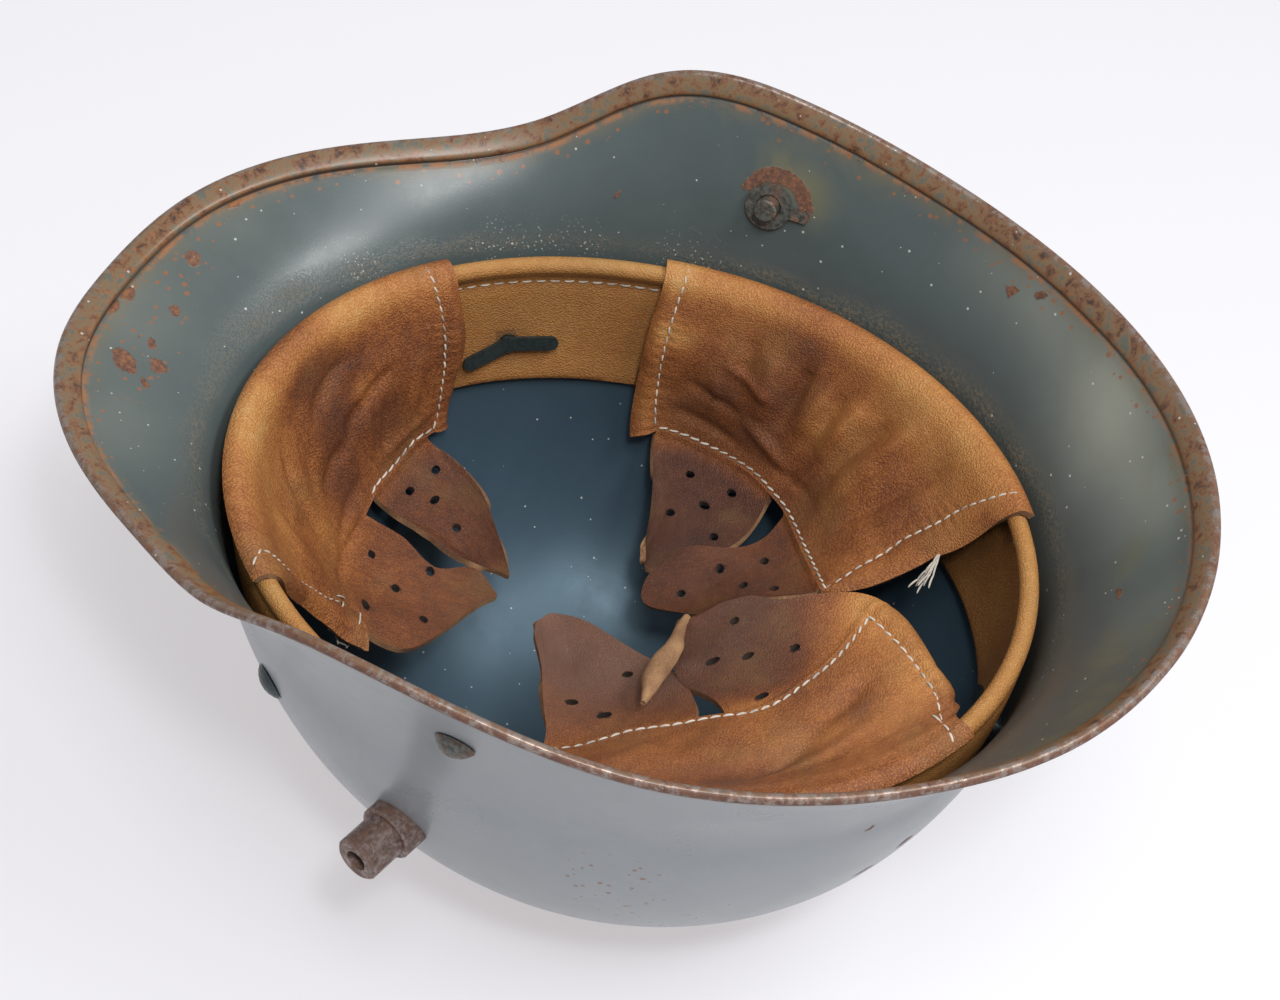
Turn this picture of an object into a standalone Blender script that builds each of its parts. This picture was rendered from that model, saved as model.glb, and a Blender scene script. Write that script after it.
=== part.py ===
"""Steel helmet with a rolled rim, two side lugs and a three-pad leather liner.

The helmet lies on its crown, opening upwards.  Metres, +Z up, visor at -Y, neck guard
at +Y, the wearer's right at +X.  The origin is under the middle of the helmet, on the
level that the crown rests on.
"""

import math

import bmesh
import bpy
import numpy as np
from mathutils import Matrix, Vector

MM = 0.001

# Shell: the bowl, measured outside, from its centre line
BOWL_HALF_WIDTH = 100.4 * MM
BOWL_FRONT = 118.0 * MM
BOWL_REAR = 110.5 * MM
BOWL_HEIGHT = 135.2 * MM
SHEET = 1.2 * MM

# Shell: how far the edge stands out from the bowl, how far it lies below or above the
# bowl's full height, and how far below that the wall starts to flare
VISOR_REACH = 43.8 * MM
SIDE_REACH = 20.5 * MM
NECK_REACH = 31.5 * MM
VISOR_DROP = 5.2 * MM
SIDE_RISE = 32.8 * MM
NECK_RISE = 24.8 * MM
FLARE_DEPTH = 30.2 * MM

# Shell: the rolled rim
FOLD_WIDTH = 6.0 * MM
FOLD_THICKNESS = 2.8 * MM
FOLD_RAMP = 0.6 * MM

# Clearances between touching pieces, and the overrun of every cutter
SEAT_GAP = 0.3 * MM
WALL_GAP = 0.5 * MM
OVERRUN = 6.0 * MM

# Vent lugs, hollow stepped studs at the temples, just above the band's lower edge
LUG_RISE = 2.0 * MM
LUG_COLLAR_RADIUS = 7.8 * MM
LUG_COLLAR_LENGTH = 6.0 * MM
LUG_NECK_RADIUS = 6.3 * MM
LUG_LENGTH = 16.5 * MM
LUG_BORE_RADIUS = 3.0 * MM
LUG_SHANK_RADIUS = 4.7 * MM
LUG_FLANGE_RADIUS = 6.2 * MM
LUG_FLANGE_THICKNESS = 1.0 * MM
LUG_FLANGE_GAP = 0.8 * MM
LUG_CHAMFER = 0.6 * MM

# Chinstrap posts, riveted through the side skirts between the band and the edge
POST_HEIGHT_SHARE = 0.471
POST_HEAD_RADIUS = 5.2 * MM
POST_HEAD_HEIGHT = 3.0 * MM
POST_SHANK_RADIUS = 2.6 * MM
POST_STUD_RADIUS = 3.35 * MM
POST_STUD_LENGTH = 5.0 * MM
POST_STUD_CHAMFER = 0.5 * MM
WASHER_RADIUS = 6.75 * MM
WASHER_THICKNESS = 1.2 * MM
WASHER_TAB_LENGTH = 5.0 * MM
WASHER_TAB_WIDTH = 3.4 * MM

# Liner band with its piped edge, which lies below the bowl's full height
BAND_DEPTH = 22.4 * MM
BAND_WIDTH = 40.8 * MM
BAND_THICKNESS = 2.8 * MM
BAND_TOP_GAP = 3.0 * MM
PIPING_RADIUS = 2.9 * MM
PIPING_WALL_GAP = 2.8 * MM

# Split pins that hold the band to the shell, and how far above its lower edge they sit
PIN_FRONT_RISE = 14.0 * MM
PIN_REAR_RISE = 12.0 * MM
PIN_HEAD_RADIUS = 5.3 * MM
PIN_HEAD_HEIGHT = 2.2 * MM
PIN_SHANK_RADIUS = 2.5 * MM
PRONG_WIDTH = 4.4 * MM
PRONG_LENGTH = 15.0 * MM
PRONG_THICKNESS = 1.2 * MM

# Leather pads, their cloth pockets and horsehair cushions
LEATHER = 1.8 * MM
POCKET_CLOTH = 0.8 * MM
CUSHION_THICKNESS = 3.4 * MM
CUSHION_SPACE = 0.9 * MM
HOLE_RADIUS = 1.3 * MM

# Angles, in degrees, and counts
PIN_FRONT_AZIMUTH = 45.5
LUG_AZIMUTH = 73.5
POST_AZIMUTH = 86.0
ROUND_SEGMENTS = 60
LUG_SEGMENTS = 24
RIVET_SEGMENTS = 20
PIPING_SEGMENTS = 8
PRONG_SEGMENTS = 5
BOWL_EXPONENT = 2.33
VISOR_END_SLOPE = 16.0
SIDE_END_SLOPE = 62.0
NECK_END_SLOPE = 54.0
LIP_ANGLES = (75.0, 101.0, 127.0, 153.0)
PRONG_TILTS = (0.0, 22.0)
WASHER_TILT = 1.0
PRONG_LIFT = 7.0

# The rim from the visor (0) to the neck (180): how far it has gone from the visor's
# height and reach to the side's, and from the side's to the neck's
RIM_AZIMUTHS = (0.0, 12.0, 26.0, 40.0, 53.0, 66.0, 86.0, 111.0, 136.0, 155.0, 180.0)
STEP_SHARES = (0.0, 0.07, 0.15, 0.23, 0.42, 0.88, 1.0, 1.0, 1.0, 1.0, 1.0)
NARROWING_SHARES = (0.0, 0.05, 0.38, 0.82, 0.95, 0.92, 1.0, 1.0, 1.0, 1.0, 1.0)
NECK_DROP_SHARES = (0.0, 0.0, 0.0, 0.0, 0.0, 0.0, 0.0, 0.80, 1.0, 1.05, 1.0)
NECK_WIDENING_SHARES = (0.0, 0.0, 0.0, 0.0, 0.0, 0.0, 0.0, 0.06, 0.38, 0.80, 1.0)
BOWL_RING_SHARES = (0.12, 0.25, 0.38, 0.50, 0.61, 0.71, 0.80, 0.875, 0.93, 0.965)
FLARE_RING_SHARES = (0.0, 0.2, 0.4, 0.6, 0.8)
FIRST_HANDLE_SHARE = 0.30
LAST_HANDLE_SHARE = 0.42

# Leather pads as nets of points, from the band's edge inwards.  A row runs from one
# hem to the other; a point is its azimuth in degrees, its distance from the bowl's
# centre line in shares of the bowl's radius there, and its level: 0 is the crown, 1 the
# band's lower edge and 2 its upper edge.  The first row lies on the piping, so only its
# azimuths count.
FRONT_PAD_SHARES = (
    ((-34, 0.0, 2.0), (-17, 0.0, 2.0), (1, 0.0, 2.0), (18, 0.0, 2.0), (35.5, 0.0, 2.0)),
    ((-35.5, 0.854, 1.530), (-18, 0.845, 1.530), (0, 0.842, 1.530),
     (18, 0.823, 1.558), (35, 0.785, 1.447)),
    ((-33, 0.835, 0.893), (-19.5, 0.782, 0.846), (-5, 0.733, 0.877),
     (12, 0.686, 0.924), (33, 0.664, 0.987)),
    ((-34, 0.648, 0.752), (-26, 0.608, 0.736), (-9, 0.547, 0.768),
     (8, 0.504, 0.799), (29, 0.497, 0.846)),
    ((-30, 0.445, 0.713), (-21, 0.397, 0.721), (-12, 0.373, 0.721),
     (-3, 0.353, 0.736), (12, 0.360, 0.768)),
)
LEFT_PAD_SHARES = (
    ((-72, 0.0, 2.0), (-92, 0.0, 2.0), (-111, 0.0, 2.0), (-132, 0.0, 2.0), (-152.5, 0.0, 2.0)),
    ((-69.5, 0.840, 1.558), (-90, 0.820, 1.558), (-110, 0.807, 1.558),
     (-131, 0.781, 1.613), (-153, 0.775, 1.641)),
    ((-68.5, 0.785, 0.893), (-86, 0.789, 0.877), (-107, 0.695, 0.916),
     (-126, 0.582, 0.987), (-150, 0.527, 1.212)),
    ((-75, 0.604, 0.752), (-88, 0.580, 0.783), (-108, 0.481, 0.854),
     (-119, 0.402, 0.893), (-135, 0.330, 0.956)),
    ((-76, 0.456, 0.728), (-78, 0.408, 0.728), (-79, 0.328, 0.736),
     (-90, 0.235, 0.744), (-113, 0.212, 0.752)),
)
RIGHT_PAD_SHARES = (
    ((74, 0.0, 2.0), (95, 0.0, 2.0), (116, 0.0, 2.0), (137, 0.0, 2.0), (158, 0.0, 2.0)),
    ((74, 0.841, 1.889), (97, 0.829, 1.959), (119, 0.803, 2.083),
     (142, 0.822, 2.166), (168, 0.840, 2.166)),
    ((80, 0.747, 1.502), (103, 0.622, 1.654), (126, 0.586, 1.862),
     (152, 0.590, 2.000), (185, 0.559, 2.028)),
    ((70, 0.413, 1.392), (91, 0.420, 1.433), (125, 0.388, 1.585),
     (153, 0.381, 1.779), (182, 0.336, 1.806)),
    ((36, 0.308, 1.309), (60, 0.193, 1.336), (117, 0.196, 1.406),
     (139, 0.190, 1.447), (163, 0.202, 1.530)),
)
PAD_COLUMN_SHARES = (0.0, 0.04, 0.12, 0.22, 0.32, 0.41, 0.475,
                     0.525, 0.59, 0.68, 0.78, 0.88, 0.96, 1.0)
PAD_ROW_SHARES = (0.12, 0.26, 0.42, 0.58, 0.74, 0.88, 1.0)
TONGUE_ROW_SHARES = (0.2, 0.4, 0.58, 0.74, 0.87, 0.96)
TONGUE_SPAN_SHARES = ((0.04, 0.475), (0.525, 0.96))
TONGUE_HOLES = (".....", ".o.o.", "..o..", ".o.o.", ".....", ".....")
TONGUE_LEAN_SHARES = (0.10, -0.04)
TONGUE_EXPONENT = 5.0
POCKET_RANGE_SHARES = (0.09, 0.91, 0.42, 0.92)
CUSHION_RANGE_SHARES = ((0.13, 0.485, 0.47, 0.88), (0.515, 0.87, 0.47, 0.88))
POCKET_EXPONENT = 4.0
CUSHION_EXPONENT = 2.0

# Heights that follow from the sizes above
FLARE_START_HEIGHT = BOWL_HEIGHT - FLARE_DEPTH
VISOR_EDGE_HEIGHT = BOWL_HEIGHT - VISOR_DROP
SIDE_EDGE_HEIGHT = BOWL_HEIGHT + SIDE_RISE
NECK_EDGE_HEIGHT = BOWL_HEIGHT + NECK_RISE
BAND_TOP = BOWL_HEIGHT - BAND_DEPTH
BAND_BOTTOM = BAND_TOP - BAND_WIDTH
LUG_HEIGHT = BAND_BOTTOM + LUG_RISE
POST_HEIGHT = BAND_TOP + (SIDE_EDGE_HEIGHT - BAND_TOP) * POST_HEIGHT_SHARE
PIN_FRONT_HEIGHT = BAND_BOTTOM + PIN_FRONT_RISE
PIN_REAR_HEIGHT = BAND_BOTTOM + PIN_REAR_RISE


def bowl_centre_y():
    """The bowl's centre line, so that the rim's front and rear are equally far out."""
    return (BOWL_FRONT + VISOR_REACH - BOWL_REAR - NECK_REACH) / 2


def spline(stations, values, x):
    """A smooth curve through the stations, level at both ends."""
    h = np.diff(stations)
    slope = np.diff(values) / h
    n = len(stations)
    a = np.eye(n)
    b = np.zeros(n)
    for i in range(1, n - 1):
        a[i, i - 1:i + 2] = h[i], 2 * (h[i - 1] + h[i]), h[i - 1]
        b[i] = 3 * (h[i] * slope[i - 1] + h[i - 1] * slope[i])
    m = np.linalg.solve(a, b)
    i = min(max(int(np.searchsorted(stations, x)) - 1, 0), n - 2)
    t = (x - stations[i]) / h[i]
    return ((1 + 2 * t) * (1 - t) ** 2 * values[i] + t * (1 - t) ** 2 * h[i] * m[i]
            + t * t * (3 - 2 * t) * values[i + 1] - t * t * (1 - t) * h[i] * m[i + 1])


def blended(azimuth, visor, side, neck, to_side, to_neck):
    """A size that changes from the visor to the side and on to the neck."""
    a = abs((azimuth + 180.0) % 360.0 - 180.0)
    s = spline(RIM_AZIMUTHS, to_side, a)
    k = spline(RIM_AZIMUTHS, to_neck, a)
    return visor + (side - visor) * s + (neck - side) * k


def plan_radius(azimuth):
    """The bowl's outer radius at its full height, an ellipse with two half lengths."""
    c, s = math.cos(math.radians(azimuth)), math.sin(math.radians(azimuth))
    length = BOWL_FRONT if c > 0 else BOWL_REAR
    return 1 / math.hypot(c / length, s / BOWL_HALF_WIDTH)


def bowl_meridian(azimuth, height):
    """Radius and outward normal (radial, up) of the bowl's outer wall at a height."""
    n = BOWL_EXPONENT
    u = 1 - min(max(height / BOWL_HEIGHT, 0.0), 1.0)
    s = max(1 - u ** n, 0.0) ** (1 / n)
    radius = plan_radius(azimuth)
    normal = Vector((s ** (n - 1) / radius, -(u ** (n - 1)) / BOWL_HEIGHT)).normalized()
    return radius * s, normal


def bowl_point(azimuth, height, depth):
    """A point at a depth inside the bowl's outer wall, as (radius, height)."""
    radius, normal = bowl_meridian(azimuth, height)
    return Vector((radius, height)) - normal * depth


def flare_curve(azimuth, count=48):
    """The wall above the bowl, out to the rim, as points in (radius, height)."""
    start = Vector((bowl_meridian(azimuth, FLARE_START_HEIGHT)[0], FLARE_START_HEIGHT))
    reach = blended(azimuth, VISOR_REACH, SIDE_REACH, NECK_REACH,
                    NARROWING_SHARES, NECK_WIDENING_SHARES)
    top = blended(azimuth, VISOR_EDGE_HEIGHT, SIDE_EDGE_HEIGHT, NECK_EDGE_HEIGHT,
                  STEP_SHARES, NECK_DROP_SHARES)
    slope = math.radians(blended(azimuth, VISOR_END_SLOPE, SIDE_END_SLOPE, NECK_END_SLOPE,
                                 STEP_SHARES, NECK_WIDENING_SHARES))
    end = Vector((plan_radius(azimuth) + reach, top))
    normal = bowl_meridian(azimuth, FLARE_START_HEIGHT)[1]
    span = (end - start).length
    first = start + Vector((-normal.y, normal.x)) * span * FIRST_HANDLE_SHARE
    last = end - Vector((math.cos(slope), math.sin(slope))) * span * LAST_HANDLE_SHARE
    points = []
    for i in range(count + 1):
        t = i / count
        points.append(start * (1 - t) ** 3 + first * 3 * t * (1 - t) ** 2
                      + last * 3 * t * t * (1 - t) + end * t ** 3)
    return points


def along(points, distance):
    """Point and inward normal at a distance along a run of (radius, height) points."""
    for a, b in zip(points, points[1:]):
        step = (b - a).length
        if distance <= step or b is points[-1]:
            direction = (b - a).normalized()
            return a + direction * distance, Vector((-direction.y, direction.x))
        distance -= step


def wall_at(azimuth, height):
    """The shell's outer wall at any height: (radius, height) and its inward normal."""
    if height <= FLARE_START_HEIGHT:
        radius, normal = bowl_meridian(azimuth, height)
        return Vector((radius, height)), -normal
    points = flare_curve(azimuth)
    for a, b in zip(points, points[1:]):
        if b.y >= height:
            direction = (b - a).normalized()
            at = a + (b - a) * ((height - a.y) / (b.y - a.y))
            return at, Vector((-direction.y, direction.x))
    raise ValueError("no wall at this height")


def place(azimuth, radius, height):
    """From azimuth, radius and height to x, y, z."""
    a = math.radians(azimuth)
    return Vector((radius * math.sin(a), bowl_centre_y() - radius * math.cos(a), height))


def frame_at(azimuth, height, level=False):
    """Axes on the outer wall: x along the wall, y up the wall, z out of it."""
    at = place(azimuth, *wall_at(azimuth, height)[0])
    beside = place(azimuth + 0.1, *wall_at(azimuth + 0.1, height)[0])
    above = place(azimuth, *wall_at(azimuth, height + OVERRUN / 100)[0])
    x = (beside - at).normalized()
    z = x.cross(above - at).normalized()
    if level:
        z = Vector((math.sin(math.radians(azimuth)), -math.cos(math.radians(azimuth)), 0.0))
        x = Vector((-z.y, z.x, 0.0))
    matrix = Matrix((x, z.cross(x), z)).transposed().to_4x4()
    matrix.translation = at
    return matrix


def material(name, colour, roughness, metallic):
    made = bpy.data.materials.new(name)
    made.use_nodes = True
    shader = made.node_tree.nodes["Principled BSDF"]
    shader.inputs["Base Color"].default_value = (*colour, 1.0)
    shader.inputs["Roughness"].default_value = roughness
    shader.inputs["Metallic"].default_value = metallic
    return made


def face_outwards(bm):
    """Turn a closed body's faces outwards."""
    bmesh.ops.recalc_face_normals(bm, faces=bm.faces)
    if bm.calc_volume(signed=True) < 0:
        bmesh.ops.reverse_faces(bm, faces=bm.faces)


def finish(name, bm, colours, parent=None, smooth_angle=35.0):
    """Make an object of a bmesh whose points are in the helmet's own frame."""
    face_outwards(bm)
    mesh = bpy.data.meshes.new(name)
    bm.to_mesh(mesh)
    bm.free()
    mesh.shade_smooth()
    mesh.set_sharp_from_angle(angle=math.radians(smooth_angle))
    obj = bpy.data.objects.new(name, mesh)
    bpy.context.scene.collection.objects.link(obj)
    if colours:
        mesh.materials.append(material(name, *colours))
    if parent:
        mesh.transform(Matrix.Translation(-parent.location))
        obj.parent = parent
    return obj


def rings_to_bmesh(rings, closed_profile):
    """Skin rings of points; a closed profile makes a tube, an open one gets two caps."""
    bm = bmesh.new()
    made = [[bm.verts.new(p) for p in ring] for ring in rings]
    pairs = list(zip(made, made[1:]))
    if closed_profile:
        pairs.append((made[-1], made[0]))
    for lower, upper in pairs:
        for i in range(len(lower)):
            j = (i + 1) % len(lower)
            bm.faces.new((lower[i], lower[j], upper[j], upper[i]))
    if not closed_profile:
        bm.faces.new(reversed(made[0]))
        bm.faces.new(made[-1])
    return bm


def azimuths():
    return [360.0 * i / ROUND_SEGMENTS for i in range(ROUND_SEGMENTS)]


def turned(profile, segments):
    """A lathe body about Z from a (radius, height) outline, closed unless on the axis."""
    bm = bmesh.new()
    verts = [bm.verts.new((r, 0.0, z)) for r, z in profile]
    following = verts[1:] + (verts[:1] if profile[0][0] > 0 else [])
    edges = [bm.edges.new((a, b)) for a, b in zip(verts, following)]
    bmesh.ops.spin(bm, geom=verts + edges, cent=(0, 0, 0), axis=(0, 0, 1),
                   angle=2 * math.pi, steps=segments, use_merge=True)
    tiny = SEAT_GAP / 100
    bmesh.ops.remove_doubles(bm, verts=bm.verts, dist=tiny)
    return bm


def rod(radius, low, high, segments):
    """A cylinder about Z between two heights."""
    bm = bmesh.new()
    bmesh.ops.create_cone(bm, cap_ends=True, segments=segments, radius1=radius,
                          radius2=radius, depth=high - low,
                          matrix=Matrix.Translation((0, 0, (high + low) / 2)))
    return bm


def cutter(name, bm, matrix):
    """A guide object that other bodies are cut or joined with."""
    bm.transform(matrix)
    obj = finish(name, bm, None)
    obj.hide_render = True
    obj.display_type = 'WIRE'
    return obj


def boolean(obj, tool, operation):
    modifier = obj.modifiers.new(tool.name, 'BOOLEAN')
    modifier.operation = operation
    modifier.solver = 'EXACT'
    modifier.object = tool


def shell_rings():
    """Rings of the shell from the crown's outside, round the rim, to its inside."""
    rings = []

    def ring(pick):
        rings.append([place(a, *pick(a)) for a in azimuths()])

    def bowl_ring(share, depth):
        n = BOWL_EXPONENT
        height = BOWL_HEIGHT * (1 - (1 - share ** n) ** (1 / n))
        if share == BOWL_RING_SHARES[0]:
            ring(lambda a: (plan_radius(a) * share, depth))
        else:
            ring(lambda a: bowl_point(a, height, depth))

    def flare_ring(depth, share=None, back=0.0):
        def pick(a):
            points = flare_curve(a)
            length = sum((q - p).length for p, q in zip(points, points[1:]))
            end = length - FOLD_THICKNESS / 2
            distance = (end - FOLD_WIDTH) * share if share is not None else end - back
            at, inward = along(points, distance)
            return at + inward * depth
        ring(pick)

    for share in BOWL_RING_SHARES:
        bowl_ring(share, 0.0)
    for share in FLARE_RING_SHARES:
        flare_ring(0.0, share=share)
    flare_ring(0.0, back=FOLD_WIDTH)
    flare_ring(0.0, back=FOLD_WIDTH / 2)
    flare_ring(0.0)
    for degrees in (45.0, 90.0, 135.0):
        bead = math.radians(degrees)
        depth = FOLD_THICKNESS / 2 * (1 - math.cos(bead))
        flare_ring(depth, back=-FOLD_THICKNESS / 2 * math.sin(bead))
    flare_ring(FOLD_THICKNESS)
    flare_ring(FOLD_THICKNESS, back=FOLD_WIDTH / 2)
    flare_ring(FOLD_THICKNESS, back=FOLD_WIDTH - FOLD_RAMP)
    flare_ring(SHEET, back=FOLD_WIDTH)
    for share in reversed(FLARE_RING_SHARES):
        flare_ring(SHEET, share=share)
    for share in reversed(BOWL_RING_SHARES):
        bowl_ring(share, SHEET)
    return rings


def build_shell(hole_tools):
    shell = finish("shell", rings_to_bmesh(shell_rings(), False), ((0.10, 0.13, 0.13), 0.45, 0.3))
    for tool in hole_tools:
        boolean(shell, tool, 'DIFFERENCE')
    return shell


def bowl_block(name, swell):
    """The bowl and its flare as one closed body, swollen, to trim what sits on it."""
    rings = []
    for share in BOWL_RING_SHARES:
        height = BOWL_HEIGHT * (1 - (1 - share ** BOWL_EXPONENT) ** (1 / BOWL_EXPONENT))
        rings.append([place(a, *bowl_point(a, height, -swell)) for a in azimuths()])
    top = [wall_at(a, FLARE_START_HEIGHT)[0] for a in azimuths()]
    rings.append([place(a, p.x + swell, p.y) for a, p in zip(azimuths(), top)])
    return cutter(name, rings_to_bmesh(rings, False), Matrix())


def hole_tool(name, matrix, radius, segments):
    depth = OVERRUN + BAND_THICKNESS
    return cutter(name, rod(radius, -depth, OVERRUN, segments), matrix)


def sided(side):
    """The two sides of the helmet, as a name and a sign for the azimuth."""
    return (("right", 1), ("left", -1))[side]


def build_vent_lug(side, trim):
    """A hollow stud: collar and neck outside, shank through the shell, peened inside."""
    name, sign = sided(side)
    azimuth = sign * LUG_AZIMUTH
    matrix = frame_at(azimuth, LUG_HEIGHT, level=True)
    c = LUG_CHAMFER
    root = -LUG_COLLAR_RADIUS
    profile = ((LUG_BORE_RADIUS, root), (LUG_COLLAR_RADIUS, root),
               (LUG_COLLAR_RADIUS, LUG_COLLAR_LENGTH - c),
               (LUG_COLLAR_RADIUS - c, LUG_COLLAR_LENGTH),
               (LUG_NECK_RADIUS, LUG_COLLAR_LENGTH), (LUG_NECK_RADIUS, LUG_LENGTH - c),
               (LUG_NECK_RADIUS - c, LUG_LENGTH), (LUG_BORE_RADIUS, LUG_LENGTH))
    bm = turned(profile, LUG_SEGMENTS)
    bm.transform(matrix)
    lug = finish("vent_lug_" + name, bm, ((0.20, 0.12, 0.08), 0.7, 0.6))
    boolean(lug, trim, 'DIFFERENCE')
    square = frame_at(azimuth, LUG_HEIGHT)
    inner = -SHEET - LUG_FLANGE_GAP
    tail = ((LUG_BORE_RADIUS, inner - LUG_FLANGE_THICKNESS),
            (LUG_FLANGE_RADIUS, inner - LUG_FLANGE_THICKNESS), (LUG_FLANGE_RADIUS, inner),
            (LUG_SHANK_RADIUS, inner), (LUG_SHANK_RADIUS, LUG_COLLAR_LENGTH / 2),
            (LUG_BORE_RADIUS, LUG_COLLAR_LENGTH / 2))
    boolean(lug, cutter("vent_shank_" + name, turned(tail, LUG_SEGMENTS), square), 'UNION')
    return lug


def dome(radius, height, steps):
    """Profile points over a shallow rivet head, from its edge to its axis."""
    big = (radius ** 2 + height ** 2) / (2 * height)
    half = math.asin(min(radius / big, 1.0))
    return [(big * math.sin(half * (1 - i / steps)),
             height - big + big * math.cos(half * (1 - i / steps))) for i in range(steps + 1)]


def build_post(side):
    """A rivet with a domed head outside and a flat-ended stud inside for the strap."""
    name, sign = sided(side)
    matrix = frame_at(sign * POST_AZIMUTH, POST_HEIGHT)
    inner = -SHEET - SEAT_GAP
    end = inner - WASHER_THICKNESS - POST_STUD_LENGTH
    head = [(r, SEAT_GAP + z) for r, z in dome(POST_HEAD_RADIUS, POST_HEAD_HEIGHT, 4)]
    c = POST_STUD_CHAMFER
    profile = [(0.0, end), (POST_STUD_RADIUS - c, end), (POST_STUD_RADIUS, end + c),
               (POST_STUD_RADIUS, inner), (POST_SHANK_RADIUS, inner),
               (POST_SHANK_RADIUS, SEAT_GAP)] + head
    bm = turned(profile, RIVET_SEGMENTS)
    bm.transform(matrix)
    return finish("chinstrap_post_" + name, bm, ((0.22, 0.13, 0.09), 0.7, 0.6))


def build_washer(side):
    """The ring under the stud, with a locating tab towards the neck."""
    name, sign = sided(side)
    matrix = frame_at(sign * POST_AZIMUTH, POST_HEIGHT)
    face = -SHEET - WALL_GAP
    bore = POST_STUD_RADIUS + SEAT_GAP
    profile = ((bore, face - WASHER_THICKNESS), (WASHER_RADIUS, face - WASHER_THICKNESS),
               (WASHER_RADIUS, face), (bore, face))
    bm = turned(profile, LUG_SEGMENTS)
    bm.transform(matrix)
    ring = finish("chinstrap_washer_" + name, bm, ((0.16, 0.14, 0.12), 0.65, 0.5))
    tab = bmesh.new()
    reach = WASHER_TAB_LENGTH + (WASHER_RADIUS - bore) / 2
    middle = WASHER_RADIUS + WASHER_TAB_LENGTH - reach / 2
    bmesh.ops.create_cube(tab, size=1.0, matrix=Matrix.Diagonal(
        (reach, WASHER_TAB_WIDTH, WASHER_THICKNESS - SEAT_GAP, 1.0)))
    shift = Vector((sign * middle, 0, face - WASHER_THICKNESS / 2))
    bmesh.ops.translate(tab, verts=tab.verts, vec=shift)
    dip = Matrix.Rotation(math.radians(-sign * WASHER_TILT), 4, 'Z')
    boolean(ring, cutter("washer_tab_" + name, tab, matrix @ dip), 'UNION')
    return ring


def band_depth(height):
    """How far inside the bowl's outer wall the band lies; it leans in towards its top."""
    share = (height - BAND_BOTTOM) / (BAND_TOP - BAND_BOTTOM)
    return SHEET + WALL_GAP + (BAND_TOP_GAP - WALL_GAP) * share


def build_band(hole_tools):
    """The leather ring that lines the bowl, with holes for the pins and the lugs."""
    levels = [BAND_BOTTOM + (BAND_TOP - BAND_BOTTOM) * k / 3 for k in range(4)]
    rings = [[place(a, *bowl_point(a, z, band_depth(z))) for a in azimuths()] for z in levels]
    rings += [[place(a, *bowl_point(a, z, band_depth(z) + BAND_THICKNESS)) for a in azimuths()]
              for z in reversed(levels)]
    band = finish("headband", rings_to_bmesh(rings, True), ((0.45, 0.24, 0.09), 0.6, 0.0))
    for tool in hole_tools:
        boolean(band, tool, 'DIFFERENCE')
    return band


def piping_centre(azimuth):
    """Middle of the piping, as (radius, height)."""
    height = BAND_TOP + SEAT_GAP + PIPING_RADIUS
    return bowl_point(azimuth, height, SHEET + PIPING_WALL_GAP + PIPING_RADIUS)


def round_piping(azimuth, radius, degrees):
    """A point round the piping; 0 points at the shell and 90 up."""
    at = piping_centre(azimuth)
    a = math.radians(degrees)
    return place(azimuth, at.x + radius * math.cos(a), at.y + radius * math.sin(a))


def build_piping():
    rings = [[round_piping(a, PIPING_RADIUS, 360.0 * k / PIPING_SEGMENTS) for a in azimuths()]
             for k in range(PIPING_SEGMENTS)]
    return finish("headband_piping", rings_to_bmesh(rings, True), ((0.55, 0.32, 0.10), 0.55, 0.0),
                  smooth_angle=60.0)


PINS = (("front_right", PIN_FRONT_AZIMUTH, PIN_FRONT_HEIGHT),
        ("front_left", -PIN_FRONT_AZIMUTH, PIN_FRONT_HEIGHT),
        ("rear", 180.0, PIN_REAR_HEIGHT))


def build_prong(name, matrix, sign, tilt, seat):
    """One leg of a split pin, bent over against the band, with a round end."""
    bm = bmesh.new()
    half = PRONG_WIDTH / 2
    outline = [(0.0, -half), (PRONG_LENGTH - half, -half)]
    outline += [(PRONG_LENGTH - half + half * math.sin(t), -half * math.cos(t))
                for t in (math.pi * k / PRONG_SEGMENTS for k in range(1, PRONG_SEGMENTS))]
    outline += [(PRONG_LENGTH - half, half), (0.0, half)]
    face = bm.faces.new([bm.verts.new((x, y, 0.0)) for x, y in outline])
    grown = bmesh.ops.extrude_face_region(bm, geom=[face])
    verts = [v for v in grown["geom"] if isinstance(v, bmesh.types.BMVert)]
    bmesh.ops.translate(bm, verts=verts, vec=(0, 0, -PRONG_THICKNESS))
    turn = Matrix.Rotation(math.radians(PRONG_LIFT), 4, 'Y')
    if sign < 0:
        turn = Matrix.Rotation(math.pi, 4, 'Z') @ turn
    sway = Matrix.Rotation(math.radians(-sign * tilt), 4, 'Z')
    return cutter(name, bm, matrix @ Matrix.Translation((0, 0, seat)) @ sway @ turn)


def build_pin(name, azimuth, height):
    """A split pin: domed head outside, shank through shell and band, two prongs inside."""
    matrix = frame_at(azimuth, height)
    seat = -band_depth(height + PRONG_WIDTH) - BAND_THICKNESS - SEAT_GAP
    head = [(r, SEAT_GAP + z) for r, z in dome(PIN_HEAD_RADIUS, PIN_HEAD_HEIGHT, 4)]
    end = seat - PRONG_THICKNESS - SEAT_GAP
    profile = [(0.0, end), (PIN_SHANK_RADIUS, end), (PIN_SHANK_RADIUS, SEAT_GAP)] + head
    bm = turned(profile, RIVET_SEGMENTS)
    bm.transform(matrix)
    pin = finish("split_pin_" + name, bm, ((0.13, 0.14, 0.13), 0.6, 0.4))
    for sign, tilt in zip((-1, 1), PRONG_TILTS):
        prong = build_prong("prong_%s_%d" % (name, sign), matrix, sign, tilt, seat)
        boolean(pin, prong, 'UNION')
    return pin


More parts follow.
